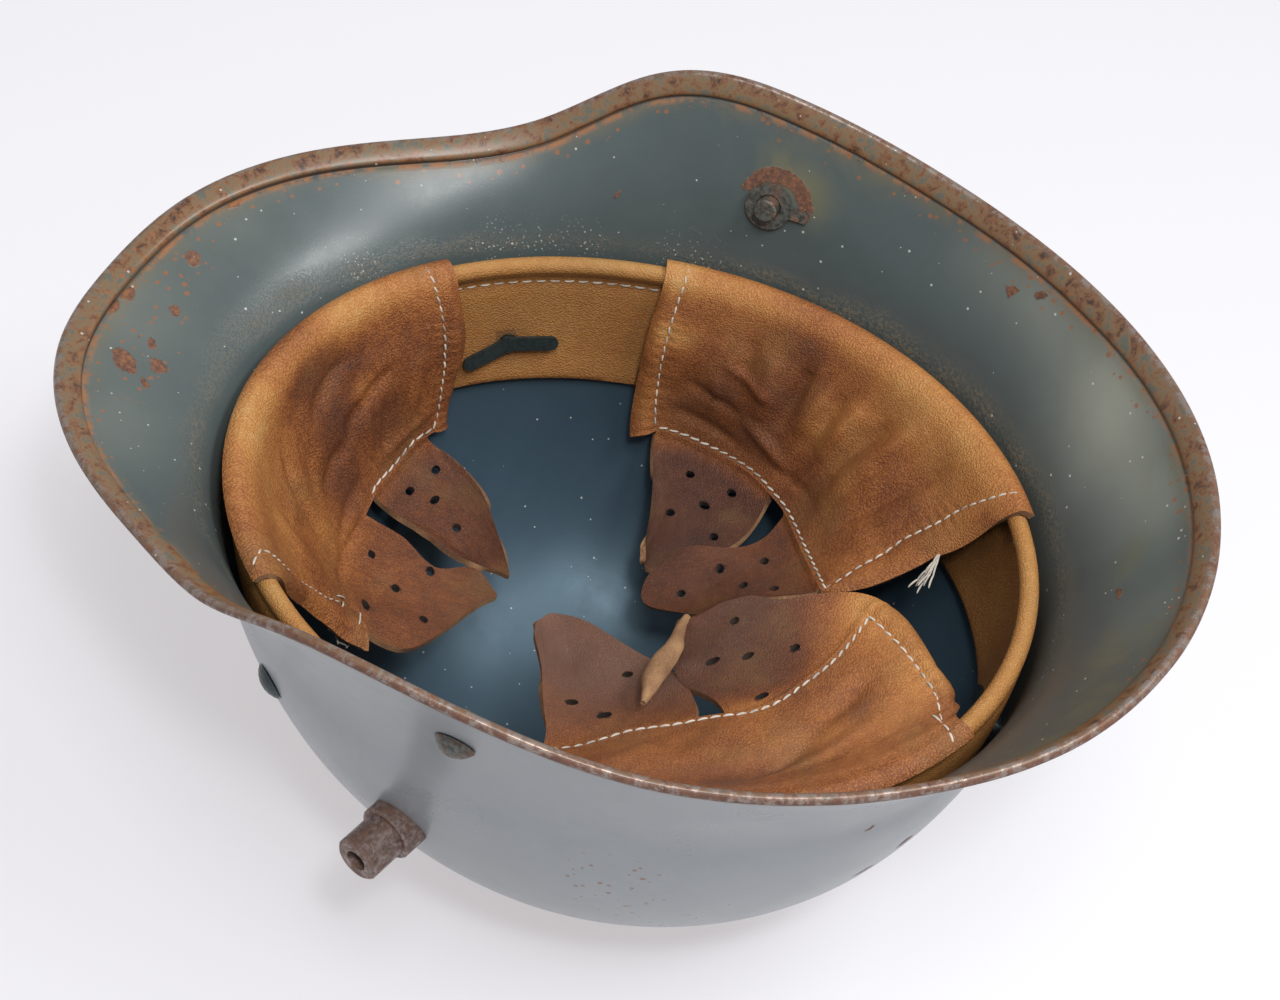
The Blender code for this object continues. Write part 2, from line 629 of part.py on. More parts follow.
def height_of(level):
    """From a level to a height: 0 the crown, 1 the band's lower edge, 2 its upper edge."""
    return BAND_BOTTOM * min(level, 1.0) + BAND_WIDTH * max(level - 1.0, 0.0)


def lip_radius():
    return PIPING_RADIUS + WALL_GAP + LEATHER


def smooth_between(points, x):
    """A Catmull-Rom curve through evenly numbered points, read at x."""
    last = len(points) - 1
    i = min(max(int(math.floor(x)), 0), last - 1)
    t = x - i
    a, b = points[i], points[i + 1]
    before = points[i - 1] if i > 0 else a * 2 - b
    after = points[i + 2] if i + 2 <= last else b * 2 - a
    return 0.5 * (2 * a + (b - before) * t + (2 * before - 5 * a + 4 * b - after) * t * t
                  + (3 * a - before - 3 * b + after) * t ** 3)


class Pad:
    """A pad's face as a smooth surface: u from hem to hem, v from the edge to the tips."""

    def __init__(self, table):
        self.net = [[place(azimuth, plan_radius(azimuth) * radius, height_of(level))
                     for azimuth, radius, level in row] for row in table[1:]]
        self.ends = table[0][0][0], table[0][-1][0]
        self.seam = 2.0
        self.tip = float(len(table) - 1)
        self.columns = len(table[0]) - 1
        self.sign = 1.0
        above = Vector((0, bowl_centre_y(), BAND_TOP * 2)) - self.at(0.5, 1.0)
        self.sign = math.copysign(1.0, self.normal(0.5, 1.0).dot(above))

    def azimuth(self, u):
        return self.ends[0] + (self.ends[1] - self.ends[0]) * u

    def at(self, u, v):
        column = [round_piping(self.azimuth(u), lip_radius(), LIP_ANGLES[-1])]
        column += [smooth_between(row, u * self.columns) for row in self.net]
        return smooth_between(column, v)

    def normal(self, u, v):
        """Unit normal on the face that the wearer's head touches."""
        d = 0.02
        across = self.at(u + d, v) - self.at(u - d, v)
        down = self.at(u, v + d) - self.at(u, v - d)
        return across.cross(down).normalized() * self.sign

    def behind(self, u, v, depth):
        return self.at(u, v) - self.normal(u, v) * depth


def tongue_span(start, end, share, lean):
    """Column shares across a tongue, which narrows to a blunt tip and may lean."""
    middle = (start + end) / 2 + lean * share * share
    half = (end - start) / 2 * (1 - share ** TONGUE_EXPONENT) ** 0.5
    return middle - half, middle + half


def holed_face(bm, corners):
    """A four-cornered face with a round air hole in its middle."""
    middle = sum((v.co for v in corners), Vector()) / 4
    x = (corners[1].co - corners[0].co).normalized()
    normal = x.cross(corners[2].co - corners[1].co).normalized()
    y = normal.cross(x)
    ring = []
    for v in corners:
        to = v.co - middle
        angle = math.atan2(to.dot(y), to.dot(x))
        for turn in (-math.pi / 8, math.pi / 8):
            at = middle + (x * math.cos(angle + turn) + y * math.sin(angle + turn)) * HOLE_RADIUS
            ring.append(bm.verts.new(at))
    for i in range(4):
        j = (i + 1) % 4
        bm.faces.new((corners[i], ring[2 * i + 1], ring[2 * i]))
        bm.faces.new((corners[i], corners[j], ring[2 * j], ring[2 * i + 1]))


def build_pad(name, table, parent):
    """One pad: leather lipped over the piping, ending in two tongues with air holes."""
    pad = Pad(table)
    bm = bmesh.new()
    spread = [pad.azimuth(u) for u in PAD_COLUMN_SHARES]
    grid = []
    for degrees in LIP_ANGLES[:-1]:
        grid.append([bm.verts.new(round_piping(a, lip_radius(), degrees)) for a in spread])
    rows = [0.0] + [share * pad.seam for share in PAD_ROW_SHARES]
    for v in rows:
        grid.append([bm.verts.new(pad.at(u, v)) for u in PAD_COLUMN_SHARES])
    grid_faces(bm, grid)
    for span, lean in zip(TONGUE_SPAN_SHARES, TONGUE_LEAN_SHARES):
        first, last = (PAD_COLUMN_SHARES.index(share) for share in span)
        above = grid[-1][first:last + 1]
        base = PAD_COLUMN_SHARES[first:last + 1]
        for k, share in enumerate(TONGUE_ROW_SHARES):
            v = pad.seam + (pad.tip - pad.seam) * share
            low, high = tongue_span(base[0], base[-1], share, lean)
            row = [bm.verts.new(pad.at(low + (high - low) * (u - base[0]) / (base[-1] - base[0]), v))
                   for u in base]
            for i in range(len(row) - 1):
                corners = (above[i], above[i + 1], row[i + 1], row[i])
                if TONGUE_HOLES[k][i] == "o":
                    holed_face(bm, corners)
                else:
                    bm.faces.new(corners)
            above = row
        low, high = tongue_span(base[0], base[-1], 1.0, lean)
        tip = bm.verts.new(pad.at(low, pad.tip))
        for a, b in zip(above, above[1:]):
            bm.faces.new((a, b, tip))
    face_wearer(bm, pad)
    thicken(bm, LEATHER)
    return finish("pad_" + name, bm, ((0.36, 0.16, 0.07), 0.55, 0.0), parent, smooth_angle=50.0)


def face_wearer(bm, pad):
    """Turn an open sheet so that its faces look at the wearer's head."""
    bmesh.ops.recalc_face_normals(bm, faces=bm.faces)
    bm.normal_update()
    middle = pad.at(0.5, 1.0)
    nearest = min(bm.faces, key=lambda f: (f.calc_center_median() - middle).length)
    if nearest.normal.dot(pad.normal(0.5, 1.0)) < 0:
        bmesh.ops.reverse_faces(bm, faces=bm.faces)


def thicken(bm, depth):
    """Give an open sheet its thickness on the side away from its faces."""
    bm.normal_update()
    faces = list(bm.faces)
    rim = [edge.link_loops[0] for edge in bm.edges if len(edge.link_faces) == 1]
    rim = [(loop.vert, loop.link_loop_next.vert) for loop in rim]
    back = {v: bm.verts.new(v.co - v.normal * depth) for v in list(bm.verts)}
    for face in faces:
        bm.faces.new([back[v] for v in reversed(face.verts)])
    for a, b in rim:
        bm.faces.new((b, a, back[a], back[b]))


def fullness(a, b, power):
    """How full a stuffed piece is at a place: 0 at its edges and 1 in its middle."""
    return (1 - abs(2 * a - 1) ** power) * (1 - abs(2 * b - 1) ** power)


def patch(pad, bounds, counts, depth_at):
    """A grid of points behind a pad, at a depth given for each place."""
    u0, u1, v0, v1 = bounds
    nu, nv = counts
    rows = []
    for j in range(nv + 1):
        b = j / nv
        v = (v0 + (v1 - v0) * b) * pad.seam
        rows.append([pad.behind(u0 + (u1 - u0) * i / nu, v, depth_at(i / nu, b))
                     for i in range(nu + 1)])
    return rows


def grid_faces(bm, grid):
    for upper, lower in zip(grid, grid[1:]):
        for i in range(len(upper) - 1):
            bm.faces.new((upper[i], upper[i + 1], lower[i + 1], lower[i]))


def build_pocket(name, table, parent):
    """The cloth pocket on the back of a pad, bellied out over the cushions."""
    pad = Pad(table)
    near = LEATHER + WALL_GAP
    deep = CUSHION_THICKNESS + CUSHION_SPACE

    def depth_at(a, b):
        return near + deep * fullness(a, b, POCKET_EXPONENT)

    bm = bmesh.new()
    grid_faces(bm, [[bm.verts.new(p) for p in row]
                    for row in patch(pad, POCKET_RANGE_SHARES, (12, 7), depth_at)])
    face_wearer(bm, pad)
    thicken(bm, POCKET_CLOTH)
    return finish("pocket_" + name, bm, ((0.55, 0.50, 0.40), 0.9, 0.0), parent, smooth_angle=50.0)


def build_cushion(name, table, parent, bounds):
    """A flat horsehair cushion that fills half of the pocket, crowned on its back."""
    pad = Pad(table)
    near = LEATHER + WALL_GAP + SEAT_GAP
    counts = (6, 5)
    front = patch(pad, bounds, counts, lambda a, b: near)
    back = patch(pad, bounds, counts,
                 lambda a, b: near + CUSHION_THICKNESS * fullness(a, b, CUSHION_EXPONENT))
    bm = bmesh.new()
    face = [[bm.verts.new(p) for p in row] for row in front]
    rear = []
    for j, row in enumerate(back):
        inside = 0 < j < len(back) - 1
        rear.append([bm.verts.new(p) if inside and 0 < i < len(row) - 1 else face[j][i]
                     for i, p in enumerate(row)])
    grid_faces(bm, face)
    grid_faces(bm, rear)
    return finish("cushion_" + name, bm, ((0.62, 0.58, 0.48), 0.9, 0.0), parent,
                  smooth_angle=60.0)


def hinge_empty(name, table):
    """An empty on the pad's swing axis: the middle of the piping behind the pad."""
    azimuth = table[0][len(table[0]) // 2][0]
    at = piping_centre(azimuth)
    empty = bpy.data.objects.new("swing_" + name, None)
    empty.location = place(azimuth, at.x, at.y)
    bpy.context.scene.collection.objects.link(empty)
    return empty


def main():
    for obj in list(bpy.data.objects):
        bpy.data.objects.remove(obj, do_unlink=True)
    trim = bowl_block("bowl_trim", SEAT_GAP)
    shell_holes, band_holes = [], []
    for side in (0, 1):
        name, sign = sided(side)
        lug_frame = frame_at(sign * LUG_AZIMUTH, LUG_HEIGHT)
        shell_holes.append(hole_tool("lug_hole_" + name, lug_frame,
                                     LUG_SHANK_RADIUS + SEAT_GAP, LUG_SEGMENTS))
        band_holes.append(hole_tool("lug_relief_" + name, lug_frame,
                                    LUG_FLANGE_RADIUS + WALL_GAP, LUG_SEGMENTS))
        shell_holes.append(hole_tool("post_hole_" + name,
                                     frame_at(sign * POST_AZIMUTH, POST_HEIGHT),
                                     POST_SHANK_RADIUS + SEAT_GAP, RIVET_SEGMENTS))
        build_vent_lug(side, trim)
        build_post(side)
        build_washer(side)
    for name, azimuth, height in PINS:
        tool = hole_tool("pin_hole_" + name, frame_at(azimuth, height),
                         PIN_SHANK_RADIUS + SEAT_GAP, RIVET_SEGMENTS)
        shell_holes.append(tool)
        band_holes.append(tool)
        build_pin(name, azimuth, height)
    build_shell(shell_holes)
    build_band(band_holes)
    build_piping()
    for name, table in (("front", FRONT_PAD_SHARES), ("left", LEFT_PAD_SHARES),
                        ("right", RIGHT_PAD_SHARES)):
        hinge = hinge_empty(name, table)
        build_pad(name, table, hinge)
        build_pocket(name, table, hinge)
        for letter, bounds in zip("ab", CUSHION_RANGE_SHARES):
            build_cushion("%s_%s" % (name, letter), table, hinge, bounds)
    bpy.context.view_layer.update()


main()
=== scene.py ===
"""Steel helmet with a three-pad leather liner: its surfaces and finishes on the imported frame.

Metres, +Z up, visor at -Y, the wearer's right at +X.  An azimuth is 0 at the visor, 90 at
the wearer's right and 180 at the neck.
"""

import math

import bpy
import numpy as np
from bpy.props import FloatProperty, FloatVectorProperty, PointerProperty
from mathutils import Matrix, Vector
from mathutils.bvhtree import BVHTree


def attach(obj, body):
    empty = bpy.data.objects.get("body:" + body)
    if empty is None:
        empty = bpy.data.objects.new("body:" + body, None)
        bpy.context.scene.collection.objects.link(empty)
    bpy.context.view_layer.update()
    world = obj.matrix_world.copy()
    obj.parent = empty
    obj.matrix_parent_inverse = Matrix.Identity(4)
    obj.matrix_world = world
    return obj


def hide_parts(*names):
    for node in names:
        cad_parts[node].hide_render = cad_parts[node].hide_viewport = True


bl_info = {
    "name": "Steel Helmet with Leather Liner",
    "version": (1, 0, 0),
    "blender": (4, 5, 0),
    "location": "View3D > Sidebar > Helmet",
    "description": "Builds a pressed steel helmet and its leather liner with three pads",
    "category": "Add Mesh",
}

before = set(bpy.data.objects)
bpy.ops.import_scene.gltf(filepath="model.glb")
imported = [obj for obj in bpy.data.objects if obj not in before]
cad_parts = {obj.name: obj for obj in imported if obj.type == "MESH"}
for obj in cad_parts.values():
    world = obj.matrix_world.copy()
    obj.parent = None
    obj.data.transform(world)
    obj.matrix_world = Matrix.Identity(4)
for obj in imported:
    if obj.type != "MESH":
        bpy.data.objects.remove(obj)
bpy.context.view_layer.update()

MM = 0.001

# The bowl, its flare and its rim
BOWL_HALF_WIDTH = 100.4 * MM
BOWL_FRONT = 118.0 * MM
BOWL_REAR = 110.5 * MM
BOWL_HEIGHT = 135.2 * MM
BOWL_CENTRE_Y = 9.9 * MM
BOWL_EXPONENT = 2.33
SHEET = 1.2 * MM
VISOR_REACH = 43.8 * MM
SIDE_REACH = 20.5 * MM
NECK_REACH = 31.5 * MM
VISOR_EDGE_HEIGHT = 130.0 * MM
SIDE_EDGE_HEIGHT = 168.0 * MM
NECK_EDGE_HEIGHT = 160.0 * MM
FLARE_START_HEIGHT = 105.0 * MM
FLARE_PULLS = (0.30, 0.42)
BOWL_STEPS = 140
FLARE_STEPS = 61
END_SLOPES = (16.0, 62.0, 54.0)
FOLD_WIDTH = 6.0 * MM
FOLD_THICKNESS = 2.8 * MM
RIM_AZIMUTHS = (0.0, 12.0, 26.0, 40.0, 53.0, 66.0, 86.0, 111.0, 136.0, 155.0, 180.0)
STEP_SHARES = (0.0, 0.07, 0.15, 0.23, 0.42, 0.88, 1.0, 1.0, 1.0, 1.0, 1.0)
NARROWING_SHARES = (0.0, 0.05, 0.38, 0.82, 0.95, 0.92, 1.0, 1.0, 1.0, 1.0, 1.0)
NECK_DROP_SHARES = (0.0, 0.0, 0.0, 0.0, 0.0, 0.0, 0.0, 0.80, 1.0, 1.05, 1.0)
NECK_WIDENING_SHARES = (0.0, 0.0, 0.0, 0.0, 0.0, 0.0, 0.0, 0.06, 0.38, 0.80, 1.0)

# The shell's grid: its columns, its rows from crown to rim outside and inside, and, in mm
# behind the bead, the rows between them: to the bead, on the fold's face and over its step,
# these two with a depth in mm.  The bead's rows lie BEAD_STEP degrees apart.
SHELL_COLUMNS = 300
OUTSIDE_ROWS = 98
INSIDE_ROWS = 110
RIM_ROWS = (7.0, 5.5, 4.0, 2.6, 1.3, 0.0)
BEAD_STEP = 15
FOLD_ROWS = ((0.0, 0.0), (0.8, 0.10), (1.8, 0.16), (2.8, 0.18), (3.8, 0.14), (4.6, 0.06),
             (5.1, -0.06), (5.5, -0.25))
STEP_ROWS = ((5.75, 2.2), (5.9, 1.8), (5.95, 1.4), (6.1, 0.95), (6.4, 0.95), (6.8, 1.1), (7.4, 1.2))
INSIDE_FROM_ROW = OUTSIDE_ROWS + len(RIM_ROWS) + 90 // BEAD_STEP - 1
RIM_ROOM = 8.5 * MM
SLOPE_REACH = 0.2 * MM

# Fittings, with the radii of their holes in the shell and the band
LUG_AZIMUTH = 73.5
LUG_HEIGHT = 74.0 * MM
POST_AZIMUTH = 86.0
POST_HEIGHT = 138.8 * MM
PINS = ((45.5, 86.0 * MM), (-45.5, 86.0 * MM), (180.0, 84.0 * MM))
LUG_HOLE = 5.0 * MM
LUG_HOLE_IN_BAND = 6.7 * MM
POST_HOLE = 2.9 * MM
PIN_HOLE = 2.8 * MM
AIR_HOLE = 1.15 * MM
# From where to where each kind of hole is cut, along the wall's normal
LUG_CUT = (-6 * MM, 4 * MM)
SHELL_CUT = (-6 * MM, 6 * MM)
BAND_CUT = (-9 * MM, 6 * MM)
AIR_CUT = (-2.6 * MM, 1.6 * MM)

# Liner band and its rolled edge
BAND_BOTTOM = 72.0 * MM
BAND_TOP = 112.8 * MM
BAND_WALL_GAP = 0.5 * MM
BAND_TOP_GAP = 3.0 * MM
ROLL_RADIUS = 2.6 * MM
ROLL_RISE = 1.9 * MM
ROLL_DEPTH = 6.9 * MM
LEATHER = 1.8 * MM
LIP_RADIUS = 4.9 * MM
LIP_ANGLES = (35.0, 153.0)
HEM_TURN = 78.0
HEM_REACH = 0.9
BAND_COLUMNS = 320
BAND_SEAM_HEIGHT = 108.3
BAND_SEAM_DEPTH = 2.35
BAND_SEAMS = ((-33, -71), (37, 73), (160, 206))
BAND_FACE = ((110.8, 2.75), (109.4, 2.55), (BAND_SEAM_HEIGHT, BAND_SEAM_DEPTH), (107.4, 2.55),
             (106.0, 2.85), (103.0, 3.0), (99.0, 3.0), (95.0, 2.95), (91.0, 2.9), (87.0, 2.85),
             (83.0, 2.8), (79.0, 2.8), (76.0, 2.8), (73.6, 2.75), (72.3, 2.5), (71.95, 1.9),
             (71.9, 1.0), (72.1, 0.3))

# Pads as nets of points: azimuth, share of the bowl's radius there, and level, which is
# 0 at the crown, 1 at the band's lower edge and 2 at its upper edge
PAD_NETS = {
    "front": (
        (-34, 35.5),
        ((-35.5, 0.854, 1.530), (-18, 0.845, 1.530), (0, 0.842, 1.530), (18, 0.823, 1.558),
         (35, 0.785, 1.447)),
        ((-33, 0.835, 0.893), (-19.5, 0.782, 0.846), (-5, 0.733, 0.877), (12, 0.686, 0.924),
         (33, 0.664, 0.987)),
        ((-34, 0.648, 0.752), (-26, 0.608, 0.736), (-9, 0.547, 0.768), (8, 0.504, 0.799),
         (29, 0.497, 0.846)),
        ((-30, 0.445, 0.713), (-21, 0.397, 0.721), (-12, 0.373, 0.721), (-3, 0.353, 0.736),
         (12, 0.360, 0.768)),
    ),
    "left": (
        (-72, -152.5),
        ((-69.5, 0.840, 1.558), (-90, 0.820, 1.558), (-110, 0.807, 1.558), (-131, 0.781, 1.613),
         (-153, 0.775, 1.641)),
        ((-68.5, 0.785, 0.893), (-86, 0.789, 0.877), (-107, 0.695, 0.916), (-126, 0.582, 0.987),
         (-150, 0.527, 1.212)),
        ((-75, 0.604, 0.752), (-88, 0.580, 0.783), (-108, 0.481, 0.854), (-119, 0.402, 0.893),
         (-135, 0.330, 0.956)),
        ((-76, 0.456, 0.728), (-78, 0.408, 0.728), (-79, 0.328, 0.736), (-90, 0.235, 0.744),
         (-113, 0.212, 0.752)),
    ),
    "right": (
        (74, 158),
        ((74, 0.841, 1.889), (97, 0.829, 1.959), (119, 0.803, 2.083), (142, 0.822, 2.166),
         (168, 0.840, 2.166)),
        ((80, 0.747, 1.502), (103, 0.622, 1.654), (126, 0.586, 1.862), (152, 0.590, 2.000),
         (185, 0.559, 2.028)),
        ((70, 0.413, 1.392), (91, 0.420, 1.433), (125, 0.388, 1.585), (153, 0.381, 1.779),
         (182, 0.336, 1.806)),
        ((36, 0.308, 1.309), (60, 0.193, 1.336), (117, 0.196, 1.406), (139, 0.190, 1.447),
         (163, 0.202, 1.530)),
    ),
}
PAD_SEAM = 2.0

# Each pad's own shape; u runs from hem to hem, v from the rolled edge to the tips:
# scale: millimetres for one u and one v; grain: pebbles' scale and strength of the wrinkles
# edges: (v, first u, last u) of the leather; seam and hems: their stitching, as (u, v)
# puffs, turns: how the two hems' strips stand up and turn under, mm; stitched: the seam's
# first and last u; loose: threads as (u, v, mm off the leather)
# tongues: lower and upper edges in u at five stations, tip in v, how blunt the tip is,
# air holes (u, v) and lifts (u, v, spread mm, height mm)
# creases: (u, v, u, v, width mm, height mm); curl: (u, v, height mm, radius mm)
# tone, tongue_tones, root_tone, greys: the leather's gold from 0 to 1 on the body and the
# tongues, what the rolled edge adds, and how grey the tongues are
# tones, soils: spots (u, v, spread mm, amount) of gold and of dark soil
PAD_LOOKS = {
    "front": {
        "scale": (128.0, 36.0),
        "edges": ((-0.5, -0.012, 1.085), (0.0, -0.012, 1.085), (0.5, -0.01, 1.035), (0.9, -0.008, 0.990),
                  (1.4, -0.004, 0.975), (1.9, 0.0, 0.990), (2.3, 0.0, 1.0)),
        "puffs": (1.0, 1.1), "turns": (1.2, 2.6),
        "seam": ((0.0, 2.02), (0.07, 1.93), (0.14, 1.90), (0.24, 1.98), (0.36, 1.99), (0.49, 2.06),
                 (0.7, 2.02), (0.88, 1.98), (1.0, 2.20)),
        "hems": (((0.045, -0.9), (0.045, 0.4), (0.055, 1.05), (0.050, 1.75), (0.072, 1.90)),
                 ((1.055, -1.1), (1.012, -0.5), (1.012, 0.0), (0.985, 0.43), (0.928, 1.04), (0.890, 1.76))),
        "stitched": (0.07, 0.40),
        "loose": (((0.875, 1.70, 0.2), (0.885, 1.80, 0.5), (0.868, 1.87, 0.3)),
                  ((0.885, 1.80, 0.5), (0.915, 1.70, 0.2)),
                  ((0.895, 2.06, 0.1), (0.915, 2.02, 0.4), (0.95, 1.96, 0.2)),
                  ((0.935, 1.75, -6), (0.935, 1.90, -6), (0.965, 1.91, -6.4), (0.975, 2.0, -6),
                   (0.945, 2.09, -5.6))),
        "tongues": (
            {"low": (0.098, 0.046, 0.056, 0.122, 0.19), "high": (0.385, 0.409, 0.444, 0.425, 0.31),
             "tip": 4.03, "blunt": 9.0,
             "holes": ((0.137, 2.35), (0.277, 2.30), (0.262, 2.57), (0.33, 3.0)),
             "lifts": ((0.10, 3.9, 8, 2.0), (0.42, 3.2, 7, -1.0))},
            {"low": (0.487, 0.492, 0.568, 0.495, 0.53), "high": (0.960, 1.005, 0.965, 0.880, 0.70),
             "tip": 4.02, "blunt": 10.0,
             "holes": ((0.634, 2.28), (0.739, 2.63), (0.856, 2.20), (0.865, 3.01), (0.60, 3.02)),
             "lifts": ((0.50, 3.7, 7, 3.0), (0.62, 3.3, 6, -1.2), (0.9, 2.6, 9, 1.5))},
        ),
        "creases": ((0.30, 0.35, 0.48, 0.9, 5, -1.3), (0.20, 0.9, 0.38, 1.25, 3.5, -1.3),
                    (0.36, 1.3, 0.56, 1.5, 3.5, -1.2), (0.47, 0.5, 0.50, 1.5, 4, 1.1),
                    (0.60, 0.6, 0.70, 1.7, 3.5, -1.3), (0.78, 0.4, 0.84, 1.6, 4.5, 1.0),
                    (0.12, 0.8, 0.16, 1.6, 3.5, 0.8), (0.10, 1.65, 0.30, 1.75, 3, 0.8),
                    (0.42, 1.75, 0.70, 1.9, 3, -0.8), (0.30, 1.0, 0.33, 1.6, 3, 0.9),
                    (0.24, 1.2, 0.27, 1.75, 2.5, -0.8), (0.40, 1.2, 0.44, 1.75, 2.5, 0.8),
                    (0.52, 1.0, 0.60, 1.5, 3, -0.8), (0.45, 2.1, 0.86, 1.85, 3, -0.9)),
        "grain": (1150.0, 0.26), "root_tone": 0.12, "greys": (0.0, 0.12),
        "tone": 0.50, "tongue_tones": (0.29, 0.41),
        "tones": ((0.26, 0.02, 8, 0.30), (0.10, 0.15, 9, 0.12), (0.62, 0.05, 12, 0.18),
                  (0.72, 0.25, 14, 0.16), (0.85, 0.8, 14, 0.15),
                  (0.30, 0.95, 5, 0.20), (0.60, 1.5, 10, 0.10), (0.55, 0.7, 8, 0.08),
                  (0.08, 1.0, 6, -0.06), (0.13, 1.3, 6, 0.10),
                  (0.393, 1.07, 8, -0.16), (0.225, 1.36, 7, -0.12), (0.482, 1.64, 8, -0.14),
                  (0.33, 0.55, 8, -0.16), (0.5, 0.42, 8, -0.14),
                  (0.42, 0.20, 6, -0.08), (0.95, 0.5, 6, 0.10), (0.97, 1.2, 6, 0.08), (0.70, 1.7, 8, 0.10)),
        "soils": ((0.40, 1.15, 7, 0.42), (0.26, 1.40, 7, 0.40), (0.48, 1.68, 7, 0.45),
                  (0.36, 0.95, 4, 0.3), (0.16, 2.0, 7, 0.35),
                  (0.22, 3.5, 8, 0.35), (0.52, 3.7, 7, 0.45), (0.30, 2.1, 6, 0.2)),
    },
    "left": {
        "scale": (132.0, 34.0),
        "edges": ((-0.5, -0.008, 1.020), (0.0, -0.008, 1.020), (1.1, -0.004, 0.985), (1.7, 0.0, 1.005),
                  (2.3, -0.004, 1.0)),
        "puffs": (1.2, 0.9), "turns": (1.2, 1.0),
        "seam": ((0.0, 2.10), (0.09, 1.93), (0.24, 2.0), (0.39, 1.97), (0.486, 2.02), (0.60, 2.05),
                 (0.73, 2.06), (0.90, 2.10), (1.0, 2.12)),
        "hems": (((0.040, -0.9), (0.037, 0.2), (0.042, 0.7), (0.048, 1.2), (0.060, 1.54), (0.076, 1.88)),
                 ((0.975, -0.9), (0.965, 0.0), (0.922, 0.56), (0.902, 1.25), (0.929, 1.69), (0.985, 2.08))),
        "stitched": (0.085, 0.98),
        "loose": tuple(((0.975, 0.98, -1.0), (1.0 + 0.3 * (a - 1), 1.0 + 0.5 * (b - 1), -0.5), (a, b, c))
                       for a, b, c in
                       ((1.050, 1.30, -1.0), (1.060, 1.38, -2.0), (1.042, 1.42, -1.0), (1.066, 1.27, 0.0),
                        (1.035, 1.36, -2.4), (1.055, 1.34, 0.6))),
        "tongues": (
            {"low": (0.082, 0.060, 0.014, 0.0, 0.0), "high": (0.470, 0.472, 0.462, 0.455, 0.42),
             "tip": 4.12, "blunt": 12.0,
             "holes": ((0.206, 2.40), (0.361, 2.36), (0.279, 2.74), (0.134, 3.09), (0.378, 3.05)),
             "lifts": ((0.40, 3.6, 9, -2.2), (0.05, 2.6, 6, 1.0), (0.2, 3.9, 9, -1.0))},
            {"low": (0.552, 0.545, 0.468, 0.392, 0.50), "high": (0.975, 1.02, 1.09, 1.08, 0.86),
             "tip": 4.10, "blunt": 9.0,
             "holes": ((0.726, 3.66), (0.584, 3.24), (0.858, 2.95), (0.919, 2.57), (0.70, 2.6)),
             "lifts": ((0.42, 3.4, 9, 3.4), (0.52, 3.9, 8, 2.0), (0.7, 3.3, 7, -0.8))},
        ),
        "creases": ((0.399, 1.42, 0.394, 0.55, 4, -2.2), (0.45, 1.35, 0.47, 0.75, 3.5, 1.3),
                    (0.536, 1.40, 0.565, 0.60, 4, 1.9), (0.651, 1.60, 0.708, 0.32, 4, 1.8),
                    (0.60, 1.4, 0.64, 0.6, 3.5, -1.6), (0.76, 1.6, 0.82, 0.5, 4, -1.4),
                    (0.30, 0.6, 0.34, 1.4, 4, 1.3), (0.15, 0.5, 0.13, 1.5, 4, -0.9),
                    (0.30, 1.45, 0.47, 1.68, 3, 1.2), (0.10, 1.62, 0.34, 1.78, 3, -1.0),
                    (0.24, 0.5, 0.26, 1.3, 3.5, -1.1), (0.20, 0.95, 0.36, 1.15, 2.5, 0.8),
                    (0.12, 1.30, 0.30, 1.45, 2.5, -0.9), (0.50, 1.15, 0.51, 0.6, 3, -1.0),
                    (0.70, 1.5, 0.74, 0.9, 3, 0.8), (0.42, 1.75, 0.60, 1.70, 2.5, -0.7),
                    (0.19, 1.1, 0.22, 1.5, 2.5, 0.8)),
        "grain": (1300.0, 0.16), "root_tone": 0.16, "greys": (0.12, 0.1),
        "tone": 0.51, "tongue_tones": (0.21, 0.31),
        "tones": ((0.614, 0.29, 12, 0.18), (0.80, 0.16, 14, 0.18), (0.496, 1.11, 7, 0.20),
                  (0.079, 0.76, 5, 0.20), (0.02, 0.8, 6, 0.28), (0.02, 0.0, 6, 0.25),
                  (0.02, 1.6, 7, 0.22), (0.95, 0.6, 9, 0.16), (0.95, 1.6, 9, 0.10),
                  (0.16, 0.25, 11, 0.16), (0.70, 1.0, 9, -0.04), (0.40, 1.0, 8, -0.10),
                  (0.60, 1.75, 12, -0.06), (0.28, 0.9, 10, -0.04), (0.85, 1.0, 9, -0.06),
                  (0.33, 0.25, 8, -0.10), (0.55, 0.75, 5, 0.10), (0.66, 1.3, 6, 0.10)),
        "soils": ((0.11, 1.55, 6, 0.5), (0.22, 1.6, 7, 0.5), (0.34, 1.6, 7, 0.5), (0.43, 1.5, 7, 0.4),
                  (0.38, 1.1, 5, 0.5), (0.12, 0.79, 3, 0.7), (0.228, 1.24, 5, 0.55),
                  (0.381, 0.34, 3, 0.7), (0.18, 1.0, 4, 0.3), (0.25, 2.6, 14, 0.35),
                  (0.60, 3.6, 12, 0.3)),
    },
    "right": {
        "scale": (140.0, 34.0),
        "edges": ((0.0, -0.01, 1.045), (0.03, -0.01, 1.064), (0.15, -0.01, 1.064), (0.37, -0.01, 1.034),
                  (0.64, -0.008, 1.008), (1.2, -0.004, 0.988), (1.6, 0.0, 0.997), (2.3, 0.0, 0.985)),
        "puffs": (1.0, 1.2), "turns": (1.0, 1.4),
        "seam": ((0.0, 1.6), (0.11, 1.72), (0.17, 1.85), (0.21, 1.95), (0.31, 2.12), (0.476, 1.97),
                 (0.593, 1.84), (0.728, 1.99), (0.854, 1.93), (0.946, 1.90), (1.0, 1.80)),
        "hems": (((0.055, -0.3), (0.055, 0.5), (0.060, 1.2), (0.10, 1.64)),
                 ((1.0, -1.1), (1.020, -0.4), (1.024, -0.04), (1.019, 0.03), (1.014, 0.12), (0.998, 0.3),
